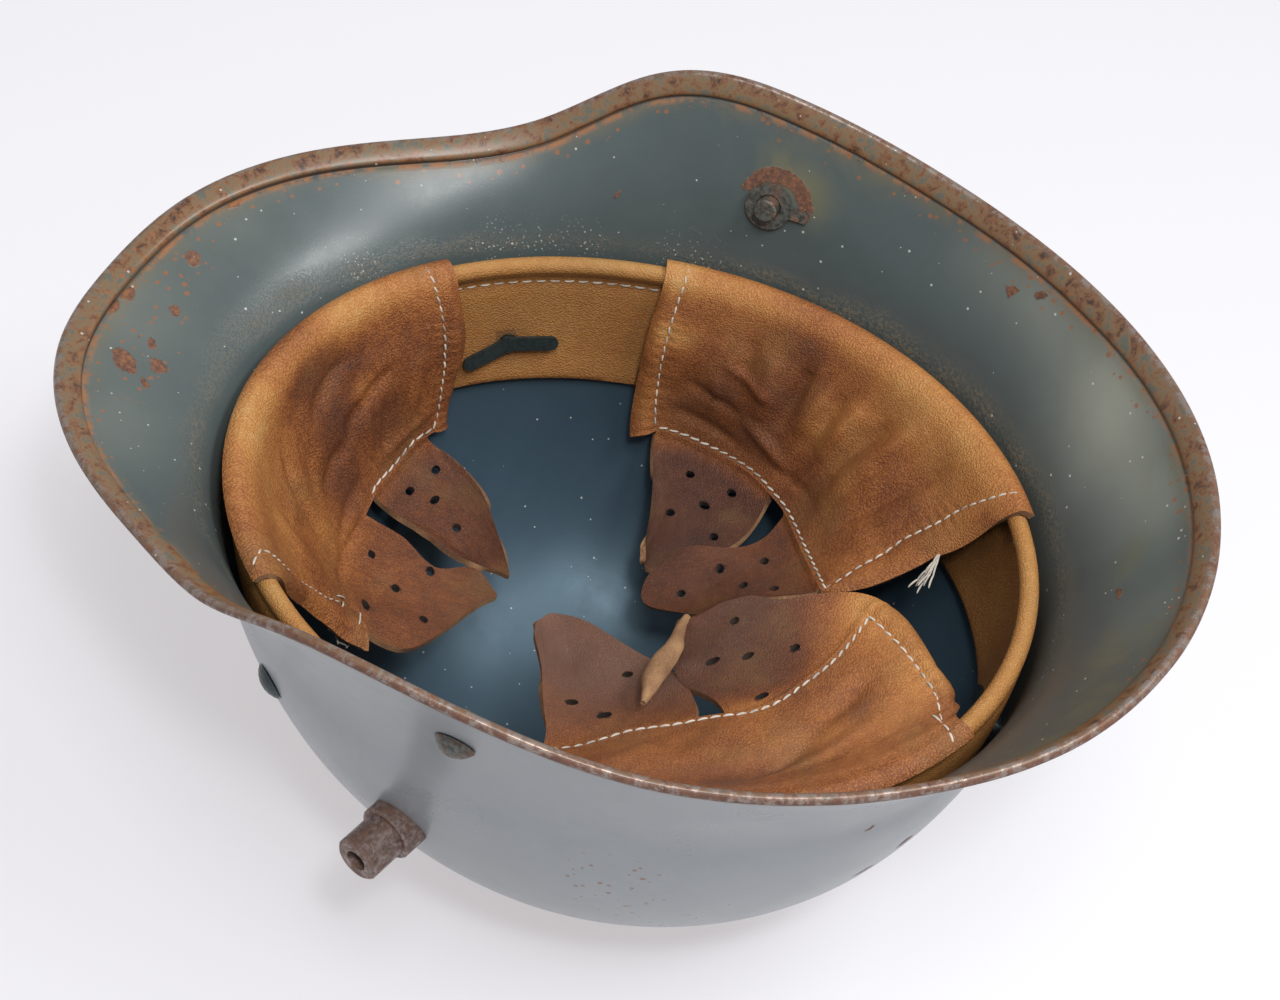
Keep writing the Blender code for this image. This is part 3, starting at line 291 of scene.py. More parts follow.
                  (0.972, 0.6), (0.953, 1.15), (0.948, 1.5), (0.940, 1.87))),
        "stitched": (0.11, 0.94),
        "tongues": (
            {"low": (0.118, 0.118, 0.075, 0.025, 0.04), "high": (0.478, 0.505, 0.522, 0.505, 0.42),
             "tip": 4.06, "blunt": 6.0,
             "holes": ((0.392, 3.26), (0.210, 2.78), (0.283, 2.54)),
             "lifts": ((0.04, 4.0, 5, 5.5), (0.12, 4.1, 4, 3.0), (0.22, 3.5, 6, -1.5),
                       (0.45, 2.6, 7, -0.8), (0.1, 2.5, 7, 1.2))},
            {"low": (0.552, 0.538, 0.512, 0.545, 0.70), "high": (0.985, 0.955, 0.945, 0.985, 0.94),
             "tip": 4.02, "blunt": 9.0,
             "holes": ((0.850, 3.35), (0.711, 2.85), (0.629, 3.10), (0.794, 2.45), (0.640, 2.12)),
             "lifts": ((0.70, 4.0, 5, 2.6), (0.84, 4.0, 6, 2.6), (0.95, 3.8, 6, 2.0), (0.55, 3.3, 5, 1.5),
                       (0.75, 2.9, 8, -1.0))},
        ),
        "creases": ((0.573, 0.45, 0.742, 1.39, 7, -2.4), (0.742, 1.39, 0.860, 1.49, 5, -1.6),
                    (0.68, 0.5, 0.86, 1.1, 7, 1.6), (0.30, 0.6, 0.42, 1.7, 8, 0.9),
                    (0.48, 1.0, 0.55, 1.75, 6, 0.8), (0.88, 0.5, 0.90, 1.7, 6, 0.7),
                    (0.20, 0.8, 0.24, 1.7, 6, -0.6), (0.78, 0.16, 1.25, 0.16, 8, 1.6)),
        "curl": ((0.37, 2.25, 4.4, 0.7), (0.405, 2.50, 4.6, 2.0), (0.44, 2.78, 4.6, 3.1),
                 (0.49, 3.08, 4.4, 3.3), (0.55, 3.33, 3.8, 2.6),
                 (0.62, 3.58, 3.0, 1.9), (0.72, 3.76, 2.4, 1.4), (0.84, 3.90, 1.8, 1.15)),
        "grain": (1350.0, 0.10), "root_tone": 0.05, "greys": (0.95, 0.45),
        "tone": 0.50, "tongue_tones": (0.43, 0.30),
        "tones": ((0.97, 1.2, 7, 0.22), (0.97, 1.8, 7, 0.22), (0.90, 0.9, 12, 0.10),
                  (0.70, 0.8, 12, 0.06), (0.40, 1.5, 12, 0.05), (0.573, 0.4, 9, -0.12),
                  (0.66, 0.9, 6, -0.10), (0.30, 0.5, 10, -0.06), (0.75, 1.13, 3, 0.10),
                  (0.6, 1.7, 6, 0.06), (0.86, 2.3, 9, 0.18), (0.95, 2.1, 7, 0.2), (0.60, 2.1, 7, 0.10)),
        "soils": ((0.820, 1.23, 2, 0.9), (0.835, 1.27, 1.6, 0.8), (0.60, 0.55, 5, 0.35),
                  (0.25, 3.4, 12, 0.3), (0.42, 3.5, 8, 0.25),
                  (0.65, 3.3, 10, 0.3), (0.10, 2.2, 7, 0.2)),
    },
}

# Marks on the steel: azimuth, height mm, spread mm and strength
INNER_RUST = ((-7.2, 126.8, 1.7, 1.5), (-2.9, 126.4, 0.9, 1.2), (10.6, 126.5, 1.9, 1.4),
              (8.6, 123.6, 1.8, 1.3), (3.3, 128.2, 0.9, 1.2), (7.7, 127.7, 0.9, 1.2),
              (5.6, 125.9, 0.9, 1.1), (9.7, 127.1, 1.8, 1.3), (-0.1, 124.2, 1.5, 1.1),
              (17.4, 121.3, 0.8, 1.0), (-15.5, 130.5, 0.8, 1.0), (1.0, 127.5, 1.1, 1.1),
              (6.0, 124.5, 1.0, 1.1), (12.0, 124.6, 1.0, 1.1), (-62.0, 132.2, 0.9, 1.3),
              (-64.4, 129.7, 0.6, 1.1), (-124.5, 146.3, 1.4, 1.3), (-128.4, 149.8, 1.1, 1.2),
              (-174.2, 135.3, 0.9, 1.2), (-175.6, 136.2, 0.8, 1.1), (-82.0, 141.0, 1.1, 0.8),
              (-82.5, 143.5, 1.4, 1.0), (-83.6, 146.0, 1.5, 1.0), (-85.2, 147.2, 1.6, 1.1),
              (-87.0, 147.4, 1.6, 1.1), (-89.0, 146.4, 1.7, 1.1), (-90.6, 144.3, 1.7, 1.1),
              (-91.6, 141.5, 1.6, 1.1), (-91.5, 138.0, 1.4, 1.0), (-90.0, 135.5, 1.0, 0.6))
INNER_STAIN = ((-170.3, 140.2, 7, 0.6), (178.7, 146.2, 7, 0.7), (174.9, 141.4, 8, 0.7),
               (165.7, 143.2, 9, 0.7), (156.4, 150.2, 9, 0.6), (-137.9, 155.7, 6, 0.4),
               (-159.0, 152.0, 6, 0.5), (-120.0, 158.0, 6, 0.4), (-86.0, 149.0, 5, 0.9),
               (-91.0, 146.5, 4, 0.8), (-93.0, 141.0, 4, 0.6), (-98.0, 158.0, 7, 0.5),
               (-75.0, 161.0, 6, 0.45), (-35.0, 136.0, 5, 0.35))
# Pale patches on the flare: partly a dusty film, partly painted sheen where the flare is lit
INNER_FILM_AND_SHEEN = ((-144, 148, 13, 0.75), (-130, 150, 10, 0.45), (-152, 140, 12, 0.55), (-163, 146, 11, 0.55),
              (-120, 150, 9, 0.25), (180, 152, 12, 0.35), (3, 128.6, 16, 0.35), (-14, 131, 12, 0.25),
              (20, 129, 12, 0.25))
FRECKLED = ((-4, 127, 14, 0.9), (10, 126, 12, 0.9), (-88, 146, 6, 0.7), (-126, 150, 9, 0.5),
            (-40, 134, 9, 0.4))
OUTER_RUST = ((149.6, 70.4, 1.6, 1.0), (151.0, 70.6, 1.5, 0.9), (155.0, 81.6, 1.6, 1.0),
              (155.5, 78.8, 1.5, 1.0), (143.7, 106.1, 1.5, 0.8), (-60.0, 50.0, 1.8, 0.9),
              (-120.0, 70.0, 1.6, 0.9), (20.0, 60.0, 1.6, 0.8))
OUTER_FRECKLED = ((108.0, 94.0, 10, 0.75), (109.5, 80.0, 10, 1.0), (112.0, 68.0, 8, 0.7),
                  (121.5, 66.0, 3, 0.7), (150.5, 70.0, 3, 0.9), (155.0, 80.0, 3, 0.9),
                  (-140.0, 60.0, 10, 0.6), (-30.0, 70.0, 10, 0.5))
WHITE_SPECKS = tuple((azimuth, 117.5, 4, 1.0) for azimuth in (-44, -51, -58, -73, -77, -24))
PIN_MARKS = tuple((azimuth, height / MM, 4, 1.0) for azimuth, height in PINS)
DUST_HEIGHT = 117.6

# Colours of wear
GRIME = (0.05, 0.06, 0.06)
STAIN = (0.150, 0.142, 0.080)
RIM_HAZE = (0.175, 0.140, 0.080)
FOLD_RAMP = ((0.38, (0.050, 0.026, 0.018)), (0.45, (0.19, 0.078, 0.034)),
             (0.52, (0.21, 0.125, 0.060)), (0.60, (0.105, 0.110, 0.088)))
RUST_RAMP = ((0.25, (0.050, 0.026, 0.020)), (0.45, (0.115, 0.052, 0.032)),
             (0.60, (0.20, 0.085, 0.042)), (0.78, (0.36, 0.15, 0.055)))
SEAM_RUST = (0.34, 0.135, 0.045)
FRECKLE = (0.26, 0.105, 0.045)
GROOVE = (0.030, 0.014, 0.010)
EDGE_RUST = (0.115, 0.050, 0.034)
BARE_STEEL = (0.36, 0.31, 0.28)
DUST = (0.200, 0.150, 0.090)
SPECK = (0.55, 0.53, 0.48)
COLD_SHEEN = (0.60, 0.84, 1.0)
OLIVE = (0.34, 0.195, 0.052)
OLIVE_PATCH = (0.27, 0.165, 0.060)
GREYED = (0.165, 0.105, 0.085)
LEATHER_DIRT = (0.060, 0.036, 0.036)
FLOOR_GREY = (0.38, 0.38, 0.39)
SKY = (0.96, 0.98, 1.0)
WHITE = (1, 1, 1)

# The photograph's camera: its azimuth, elevation and roll, and its place in metres
CAMERA_ANGLES = (105.13, 47.14, 9.28)
CAMERA_PLACE = (0.413114, 0.119017, 0.580607)
CAMERA_LENS = 67.18
CAMERA_SENSOR = 36.0

# Lamps: place, size across and size deep in metres; all aim at one place
LAMPS = {"softbox": ((0.44, 0.22, 1.26), 0.45, 0.45), "flash": ((0.46, 0.24, 0.95), 0.10, 0.10),
         "overhead": ((-0.10, 0.62, 1.20), 0.85, 0.30)}
LAMP_AIM = (0, 0, 0.10)


# ---------------------------------------------------------------- surfaces


def plan_radius(azimuth):
    """The bowl's outer radius at its full height."""
    c, s = np.cos(np.radians(azimuth)), np.sin(np.radians(azimuth))
    return 1 / np.hypot(c / np.where(c > 0, BOWL_FRONT, BOWL_REAR), s / BOWL_HALF_WIDTH)


def place(azimuth, radius, height):
    """Points in the helmet's frame from azimuths, radii and heights."""
    a = np.radians(azimuth)
    x, y, z = np.broadcast_arrays(radius * np.sin(a), BOWL_CENTRE_Y - radius * np.cos(a), height)
    return np.stack([x, y, z], axis=-1)


def bowl_point(azimuth, height, depth):
    """Radius and height of a point at a depth inside the bowl's outer wall."""
    n = BOWL_EXPONENT
    u = 1 - np.clip(height / BOWL_HEIGHT, 0.0, 1.0)
    s = np.maximum(1 - u ** n, 0.0) ** (1 / n)
    radius = plan_radius(azimuth)
    out, up = s ** (n - 1) / radius, -(u ** (n - 1)) / BOWL_HEIGHT
    size = np.hypot(out, up)
    return radius * s - depth * out / size, height - depth * up / size


def rim_curve(shares, azimuth):
    """A smooth curve through the rim's stations, level at both ends."""
    x = np.abs((np.asarray(azimuth, float) + 180.0) % 360.0 - 180.0)
    stations, values = np.array(RIM_AZIMUTHS), np.array(shares)
    h = np.diff(stations)
    slope = np.diff(values) / h
    n = len(stations)
    a, b = np.eye(n), np.zeros(n)
    for i in range(1, n - 1):
        a[i, i - 1:i + 2] = h[i], 2 * (h[i - 1] + h[i]), h[i - 1]
        b[i] = 3 * (h[i] * slope[i - 1] + h[i - 1] * slope[i])
    m = np.linalg.solve(a, b)
    i = np.clip(np.searchsorted(stations, x) - 1, 0, n - 2)
    t = (x - stations[i]) / h[i]
    return ((1 + 2 * t) * (1 - t) ** 2 * values[i] + t * (1 - t) ** 2 * h[i] * m[i]
            + t * t * (3 - 2 * t) * values[i + 1] - t * t * (1 - t) * h[i] * m[i + 1])


def blended(azimuth, sizes, to_side, to_neck):
    """A size that changes from the visor to the side and on to the neck."""
    visor, side, neck = sizes
    return (visor + (side - visor) * rim_curve(to_side, azimuth)
            + (neck - side) * rim_curve(to_neck, azimuth))


def wall_lines(azimuth):
    """The wall's outer line at each azimuth, crown to rim: radii, heights and lengths."""
    n = BOWL_EXPONENT
    azimuth = np.asarray(azimuth, float)[:, None]
    top_share = (1 - (1 - FLARE_START_HEIGHT / BOWL_HEIGHT) ** n) ** (1 / n)
    share = np.sin(np.linspace(0, np.pi / 2, BOWL_STEPS))[None, :] * top_share
    radius = plan_radius(azimuth) * share
    height = BOWL_HEIGHT * (1 - (1 - share ** n) ** (1 / n)) + 0 * azimuth
    start = np.stack([radius[:, -1], height[:, -1]], -1)
    reach = blended(azimuth[:, 0], (VISOR_REACH, SIDE_REACH, NECK_REACH), NARROWING_SHARES,
                    NECK_WIDENING_SHARES)
    top = blended(azimuth[:, 0], (VISOR_EDGE_HEIGHT, SIDE_EDGE_HEIGHT, NECK_EDGE_HEIGHT), STEP_SHARES,
                  NECK_DROP_SHARES)
    slope = np.radians(blended(azimuth[:, 0], END_SLOPES, STEP_SHARES, NECK_WIDENING_SHARES))
    end = np.stack([plan_radius(azimuth[:, 0]) + reach, top], -1)
    u = 1 - FLARE_START_HEIGHT / BOWL_HEIGHT
    out, up = top_share ** (n - 1) / plan_radius(azimuth[:, 0]), -(u ** (n - 1)) / BOWL_HEIGHT
    tangent = np.stack([-up / np.hypot(out, up), out / np.hypot(out, up)], -1)
    span = np.linalg.norm(end - start, axis=-1)[:, None]
    first = start + tangent * span * FLARE_PULLS[0]
    last = end - np.stack([np.cos(slope), np.sin(slope)], -1) * span * FLARE_PULLS[1]
    t = np.linspace(0, 1, FLARE_STEPS)[None, 1:, None]
    flare = (start[:, None] * (1 - t) ** 3 + first[:, None] * 3 * t * (1 - t) ** 2
             + last[:, None] * 3 * t * t * (1 - t) + end[:, None] * t ** 3)
    radius = np.concatenate([radius, flare[..., 0]], 1)
    height = np.concatenate([height, flare[..., 1]], 1)
    steps = np.hypot(np.diff(radius, axis=1), np.diff(height, axis=1))
    lengths = np.concatenate([np.zeros((len(radius), 1)), np.cumsum(steps, 1)], 1)
    return radius, height, lengths


def on_wall(azimuth, back, depth):
    """Points a distance back from the rim's bead and a depth inside the outer wall.

    back and depth have a row for each azimuth."""
    radius, height, lengths = wall_lines(azimuth)
    made = np.zeros(back.shape + (3,))
    for i, a in enumerate(azimuth):
        at = lengths[i, -1] - FOLD_THICKNESS / 2 - back[i]
        at = np.maximum(at, 0.0)
        ahead, behind = at + SLOPE_REACH, np.maximum(at - SLOPE_REACH, 0.0)
        dr = np.interp(ahead, lengths[i], radius[i]) - np.interp(behind, lengths[i], radius[i])
        dz = np.interp(ahead, lengths[i], height[i]) - np.interp(behind, lengths[i], height[i])
        over = ahead > lengths[i, -1]
        dr[over], dz[over] = radius[i, -1] - radius[i, -2], height[i, -1] - height[i, -2]
        size = np.hypot(dr, dz)
        r = np.interp(at, lengths[i], radius[i]) - dz / size * depth[i]
        made[i] = place(a, np.where(at <= 0, 0.0, r),
                        np.interp(at, lengths[i], height[i]) + dr / size * depth[i])
    return made


def wall_height_point(azimuth, height_mm, depth):
    """A point on the wall at a height, for placing marks on the steel."""
    radius, height, lengths = wall_lines([azimuth])
    length = float(np.interp(height_mm * MM, height[0], lengths[0]))
    back = np.array([[lengths[0, -1] - FOLD_THICKNESS / 2 - length]])
    return on_wall([azimuth], back, np.array([[depth]]))[0, 0]


def axes(x, z, at):
    """A matrix with x and z along two directions and its origin at a place."""
    made = Matrix((x, z.cross(x), z)).transposed().to_4x4()
    made.translation = Vector(at)
    return made


def wall_matrix(azimuth, height):
    """Axes on the outer wall: x along it, y up it and z out of it."""
    at = wall_height_point(azimuth, height / MM, 0.0)
    beside = wall_height_point(azimuth + 0.1, height / MM, 0.0)
    above = wall_height_point(azimuth, height / MM + 0.06, 0.0)
    x = Vector(beside - at).normalized()
    return axes(x, x.cross(Vector(above - at)).normalized(), at)


def band_depth(height):
    """How deep inside the outer wall the band's back lies."""
    share = (height - BAND_BOTTOM) / (BAND_TOP - BAND_BOTTOM)
    return SHEET + BAND_WALL_GAP + (BAND_TOP_GAP - BAND_WALL_GAP) * share


def round_roll(azimuth, radius, degrees):
    """Points round the band's rolled edge; 0 points at the shell and 90 up."""
    r, z = bowl_point(azimuth, BAND_TOP + ROLL_RISE, ROLL_DEPTH)
    a = np.radians(degrees)
    return place(azimuth, r + radius * np.cos(a), z + radius * np.sin(a))


def ripple(points, size, seed):
    """A smooth wavering value from -1 to 1 for each point, the same on every run."""
    phases = np.random.RandomState(seed).uniform(0, 2 * np.pi, (6, 1))
    turns = np.random.RandomState(seed + 1).normal(0, 1, (6, 3))
    turns /= np.linalg.norm(turns, axis=1)[:, None]
    waves = np.sin(points.reshape(-1, 3) @ turns.T * (2 * np.pi / size) + phases.T)
    return (waves.sum(1) / 3.2).reshape(points.shape[:-1])


def through(p, a, b, q, t):
    """A Catmull-Rom curve from a to b, with p before a and q after b."""
    return 0.5 * (2 * a + (b - p) * t + (2 * p - 5 * a + 4 * b - q) * t * t
                  + (3 * a - p - 3 * b + q) * t ** 3)


def bell(values, middle, width):
    """A soft hump that is 1 at its middle."""
    return np.exp(-((values - middle) / width) ** 2)


def smooth_row(points, x):
    """A smooth curve through points, read at each x, straight past its ends."""
    last = len(points) - 1
    beyond = (x - np.clip(x, 0, last))[:, None]
    past = beyond * np.where(beyond > 0, points[-1] - points[-2], points[1] - points[0])
    x = np.clip(x, 0, last)
    i = np.clip(np.floor(x).astype(int), 0, last - 1)
    padded = np.concatenate([[2 * points[0] - points[1]], points, [2 * points[-1] - points[-2]]])
    return past + through(*(padded[i + k] for k in range(4)), (x - i)[:, None])


class PadFace:
    """A pad's face: u from hem to hem, v from the rolled edge over the seam to the tips."""

    def __init__(self, key):
        ends, rows = PAD_NETS[key][0], PAD_NETS[key][1:]
        self.ends = ends
        self.net = []
        for row in rows:
            azimuth, share, level = np.array(row, float).T
            height = BAND_BOTTOM * np.minimum(level, 1) + (BAND_TOP - BAND_BOTTOM) * np.maximum(level - 1,
                                                                                                0)
            self.net.append(place(azimuth, plan_radius(azimuth) * share, height))
        self.sign = 1.0
        centre = np.array((0, BOWL_CENTRE_Y, BAND_TOP * 2))
        u, v = np.array([0.5]), np.array([1.0])
        self.sign = float(np.sign((self.normal(u, v) * (centre - self.at(u, v))).sum()))

    def azimuth(self, u):
        return self.ends[0] + (self.ends[1] - self.ends[0]) * u

    def at(self, u, v):
        rows = [round_roll(self.azimuth(u), LIP_RADIUS, LIP_ANGLES[1])]
        rows += [smooth_row(row, u * (len(row) - 1)) for row in self.net]
        rows = [2 * rows[0] - rows[1]] + rows + [2 * rows[-1] - rows[-2]]
        stack = np.stack(rows)
        i = np.clip(np.floor(v).astype(int), 0, len(self.net) - 1)
        n = np.arange(len(u))
        return through(*(stack[i + k, n] for k in range(4)), (v - i)[:, None])

    def normal(self, u, v):
        """Unit normals on the face that the wearer's head touches."""
        d = 0.02
        across = self.at(u + d, v) - self.at(u - d, v)
        down = self.at(u, v + d) - self.at(u, v - d)
        n = np.cross(across, down) * self.sign
        return n / np.linalg.norm(n, axis=-1)[:, None]


# ---------------------------------------------------------------- modelling


def only(obj):
    """Select one object and make it active."""
    bpy.ops.object.select_all(action='DESELECT')
    obj.select_set(True)
    bpy.context.view_layer.objects.active = obj


def grid(name, columns, rows):
    """A grid primitive and the column and row of each of its points."""
    bpy.ops.object.select_all(action='DESELECT')
    bpy.ops.mesh.primitive_grid_add(x_subdivisions=columns, y_subdivisions=rows, size=1.0)
    obj = bpy.context.object
    obj.name = name
    obj.data.name = name
    at = np.zeros(len(obj.data.vertices) * 3)
    obj.data.vertices.foreach_get("co", at)
    at = at.reshape(-1, 3)
    return obj, np.rint((at[:, 0] + 0.5) * columns).astype(int), np.rint((at[:, 1] + 0.5)
                                                                         * rows).astype(int)


def shape(obj, points):
    obj.data.vertices.foreach_set("co", np.asarray(points, float).ravel())
    obj.data.update()


def points_of(obj):
    at = np.zeros(len(obj.data.vertices) * 3)
    obj.data.vertices.foreach_get("co", at)
    return at.reshape(-1, 3)


def paint(obj, name, values):
    """Store a value for each point of a piece, for its material to read."""
    layer = obj.data.attributes.new(name, 'FLOAT', 'POINT')
    layer.data.foreach_set("value", np.asarray(values, float).ravel())


FACES_AGREE = (bpy.ops.mesh.normals_make_consistent, {"inside": False})


def in_edit_mode(obj, *steps):
    """Run mesh operators, each with its settings, on all of a piece."""
    only(obj)
    bpy.ops.object.mode_set(mode='EDIT')
    bpy.ops.mesh.select_all(action='SELECT')
    for operator, settings in steps:
        operator(**settings)
    bpy.ops.object.mode_set(mode='OBJECT')


def tidy(obj, threshold=1e-6):
    """Merge points that lie on each other and make the faces agree."""
    in_edit_mode(obj, (bpy.ops.mesh.remove_doubles, {"threshold": threshold}), FACES_AGREE)


def turn_over(obj):
    """Turn the faces of a piece the other way round."""
    in_edit_mode(obj, (bpy.ops.mesh.flip_normals, {}))


def apply(obj, kind, **settings):
    """Add a modifier and apply it."""
    modifier = obj.modifiers.new(kind.lower(), kind)
    for key, value in settings.items():
        setattr(modifier, key, value)
    only(obj)
    bpy.ops.object.modifier_apply(modifier=modifier.name)


def smooth(obj, degrees=None):
    only(obj)
    if degrees is None:
        bpy.ops.object.shade_smooth()
    else:
        bpy.ops.object.shade_smooth_by_angle(angle=math.radians(degrees))


def finish_with(obj, materials, body, slot, *nodes):
    """Give a piece its materials and its body, and hide the CAD nodes it replaces; the finish slot is not
    used.
    """
    while len(obj.data.materials) < len(materials):
        obj.data.materials.append(None)
    for k, material in enumerate(materials):
        obj.data.materials[k] = material
    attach(obj, body)
    if nodes:
        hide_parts(*nodes)
    return obj


def cut_holes(obj, cutters, slot=0):
    """Cut rods out of a piece: each is a matrix, a radius, and its low and high end.

    The holes' walls take the piece's material in the given slot."""
    rods = []
    for matrix, radius, low, high in cutters:
        bpy.ops.object.select_all(action='DESELECT')
        bpy.ops.mesh.primitive_cylinder_add(vertices=32, radius=radius, depth=high - low,
                                            location=(0, 0, (high + low) / 2))
        rod = bpy.context.object
        bpy.ops.object.transform_apply(location=True)
        rod.data.transform(matrix)
        rods.append(rod)
    bpy.ops.object.select_all(action='DESELECT')
    for rod in rods:
        rod.select_set(True)
    bpy.context.view_layer.objects.active = rods[0]
    bpy.ops.object.join()
    for material in obj.data.materials:
        rods[0].data.materials.append(material)
    for polygon in rods[0].data.polygons:
        polygon.material_index = slot
    apply(obj, 'BOOLEAN', object=rods[0], operation='DIFFERENCE', solver='EXACT')
    bpy.data.objects.remove(rods[0])


def marks(points, table, depth):
    """Sum of a table's soft round marks, which lie at a depth inside the outer wall."""
    total = np.zeros(len(points))
    for azimuth, height_mm, spread, strength in table:
        gap = ((points - wall_height_point(azimuth, height_mm, depth)) ** 2).sum(1)
        total += strength * np.exp(-gap / (2 * (spread * MM) ** 2))
    return total


def pad_spot(u, v, scale, spot):
    """A soft round spot on a pad, given as (u, v, spread mm, amount)."""
    at_u, at_v, spread, amount = spot
    gap = ((u - at_u) * scale[0]) ** 2 + ((v - at_v) * scale[1]) ** 2
    return amount * np.exp(-gap / (2 * spread ** 2))


def lay_uv(obj, across, down):
    """A UV map in metres from two values for each point."""
    layer = obj.data.uv_layers.get("UVMap") or obj.data.uv_layers.new(name="UVMap")
    loops = np.zeros(len(obj.data.loops), int)
    obj.data.loops.foreach_get("vertex_index", loops)
    layer.data.foreach_set("uv", np.stack([across[loops], down[loops]], -1).ravel())


# ---------------------------------------------------------------- materials


def shade(colour, factor):
    """A colour made darker or brighter."""
    return [x * factor for x in colour]


class Graph:
    """Adds nodes to a tree; a socket is fed a number, a colour or another socket."""

    def __init__(self, tree):
        self.tree = tree

    def feed(self, socket, value):
        if isinstance(value, bpy.types.NodeSocket):
            self.tree.links.new(value, socket)
        elif socket.type == 'RGBA':
            socket.default_value = (*value[:3], 1.0)
        else:
            socket.default_value = value

    def add(self, kind, inputs=None, **settings):
        made = self.tree.nodes.new(kind)
        for key, value in settings.items():
            setattr(made, key, value)
        self.fill(made, inputs or {})
        return made

    def fill(self, node, inputs):
        """Feed a node's inputs, given by name or number."""
        for key, value in inputs.items():
            self.feed(node.inputs[key], value)

    def maths(self, operation, a, b=0.0, clamp=False):
        return self.add("ShaderNodeMath", {0: a, 1: b}, operation=operation, use_clamp=clamp).outputs[0]

    def times(self, a, b, clamp=False):
        return self.maths('MULTIPLY', a, b, clamp)

    def plus(self, a, b, clamp=False):
        return self.maths('ADD', a, b, clamp)

    def minus(self, a, b):
        return self.maths('SUBTRACT', a, b)

    def between(self, value, low, high, to_low=0.0, to_high=1.0):
        """A soft step from one value to another."""
        inputs = {"Value": value, "From Min": low, "From Max": high, "To Min": to_low, "To Max": to_high}
        return self.add("ShaderNodeMapRange", inputs, interpolation_type='SMOOTHSTEP').outputs[0]

    def mix(self, factor, a, b):
        """Colours a and b mixed; 0, 6 and 7 are the node's sockets for colours."""
        return self.add("ShaderNodeMix", {0: factor, 6: a, 7: b}, data_type='RGBA').outputs[2]

    def ramp(self, factor, stops):
        made = self.add("ShaderNodeValToRGB", {"Fac": factor})
        elements = made.color_ramp.elements
        while len(elements) < len(stops):
            elements.new(0.5)
        for element, (position, colour) in zip(elements, stops):
            element.position = position
            element.color = (*colour, 1.0)
        return made.outputs["Color"]

    def noise(self, vector, scale, detail=3.0, roughness=0.55, distortion=0.0):
        return self.add("ShaderNodeTexNoise", {"Vector": vector, "Scale": scale, "Detail": detail,
                                               "Roughness": roughness,
                                               "Distortion": distortion}).outputs["Fac"]

    def cells(self, vector, scale):
        return self.add("ShaderNodeTexVoronoi", {"Vector": vector, "Scale": scale}).outputs

    def stretched(self, vector, factors):
        return self.add("ShaderNodeVectorMath", {0: vector, 1: factors}, operation='MULTIPLY').outputs[0]

    def place(self):
        return self.add("ShaderNodeTexCoord").outputs["Object"]

    def read(self, name):
        """A value that was painted on the piece."""
        return self.add("ShaderNodeAttribute", attribute_name=name).outputs["Fac"]

    def bump(self, height, strength, distance):
        inputs = {"Height": height, "Strength": strength, "Distance": distance}
        return self.add("ShaderNodeBump", inputs).outputs["Normal"]

    def use(self, name, build, inputs):
        """The outputs of a node group, which is built when it is first used."""
        made = self.add("ShaderNodeGroup", node_tree=bpy.data.node_groups.get(name) or build(name))
        self.fill(made, inputs)
        return made.outputs

    def for_camera(self, rest, shown, ray):
        """One shader for the camera and one more kind of ray, and another for the rest."""
        rays = self.add("ShaderNodeLightPath").outputs
        seen = self.plus(rays["Is Camera Ray"], rays[ray], clamp=True)
        return self.add("ShaderNodeMixShader", {0: seen, 1: rest, 2: shown}).outputs[0]


def new_group(name, inputs, outputs):
    """A shader node group; each input is a number, or a vector where its default is None."""
    tree = bpy.data.node_groups.new(name, 'ShaderNodeTree')
    for title, default in inputs.items():
        kind = 'NodeSocketVector' if default is None else 'NodeSocketFloat'
        socket = tree.interface.new_socket(title, in_out='INPUT', socket_type=kind)
        if default is not None:
            socket.default_value = default
    for title in outputs:
        kind = 'NodeSocketColor' if title == "Color" else 'NodeSocketFloat'
        tree.interface.new_socket(title, in_out='OUTPUT', socket_type=kind)
    source = tree.nodes.new("NodeGroupInput")
    sink = tree.nodes.new("NodeGroupOutput")
    return tree, Graph(tree), source.outputs, sink.inputs


def leather_grain(name):
    """Pebbles, fine wrinkles and pores: a height, and how deep each place lies."""
    tree, g, given, sink = new_group(
        name, {"Vector": None, "Pebble Scale": 1000.0, "Wrinkles": 0.5}, ("Height", "Pits"))
    warp = g.add("ShaderNodeTexNoise",
                 {"Vector": given["Vector"], "Scale": 260.0, "Detail": 2.0}).outputs["Color"]
    vector = g.add("ShaderNodeVectorMath", {0: warp, 1: (1.6 * MM,) * 3, 2: given["Vector"]},
                   operation='MULTIPLY_ADD').outputs[0]
    pebbles = g.cells(vector, given["Pebble Scale"])["Distance"]
    small = g.cells(vector, g.times(given["Pebble Scale"], 2.3))["Distance"]
    drawn = g.stretched(vector, (1.0, 0.35, 1.0))
    ridge = g.maths('ABSOLUTE', g.minus(g.noise(drawn, 210.0, 3.0, 0.6, 0.8), 0.5))
    wrinkle = g.times(g.between(ridge, 0.0, 0.055, 1.0, 0.0), given["Wrinkles"])
    pits = g.plus(g.between(pebbles, 0.25, 0.75), g.times(g.between(small, 0.3, 0.8), 0.35))
    pits = g.plus(g.times(pits, 0.6), wrinkle, clamp=True)
    g.feed(sink["Pits"], pits)
    g.feed(sink["Height"], g.minus(1.0, pits))
    return tree


def blotches(name):
    """Cloudy variation from 0 to 1 in two sizes."""
    tree, g, given, sink = new_group(
        name, {"Vector": None, "Scale": 40.0, "Contrast": 1.0}, ("Factor",))
    wide = g.noise(given["Vector"], given["Scale"], 5.0, 0.62, 0.6)
    fine = g.noise(given["Vector"], g.times(given["Scale"], 6.0), 4.0, 0.6)
    both = g.plus(g.times(wide, 0.7), g.times(fine, 0.3))
    centred = g.times(g.minus(both, 0.5), given["Contrast"])
    g.feed(sink["Factor"], g.plus(centred, 0.5, clamp=True))
    return tree


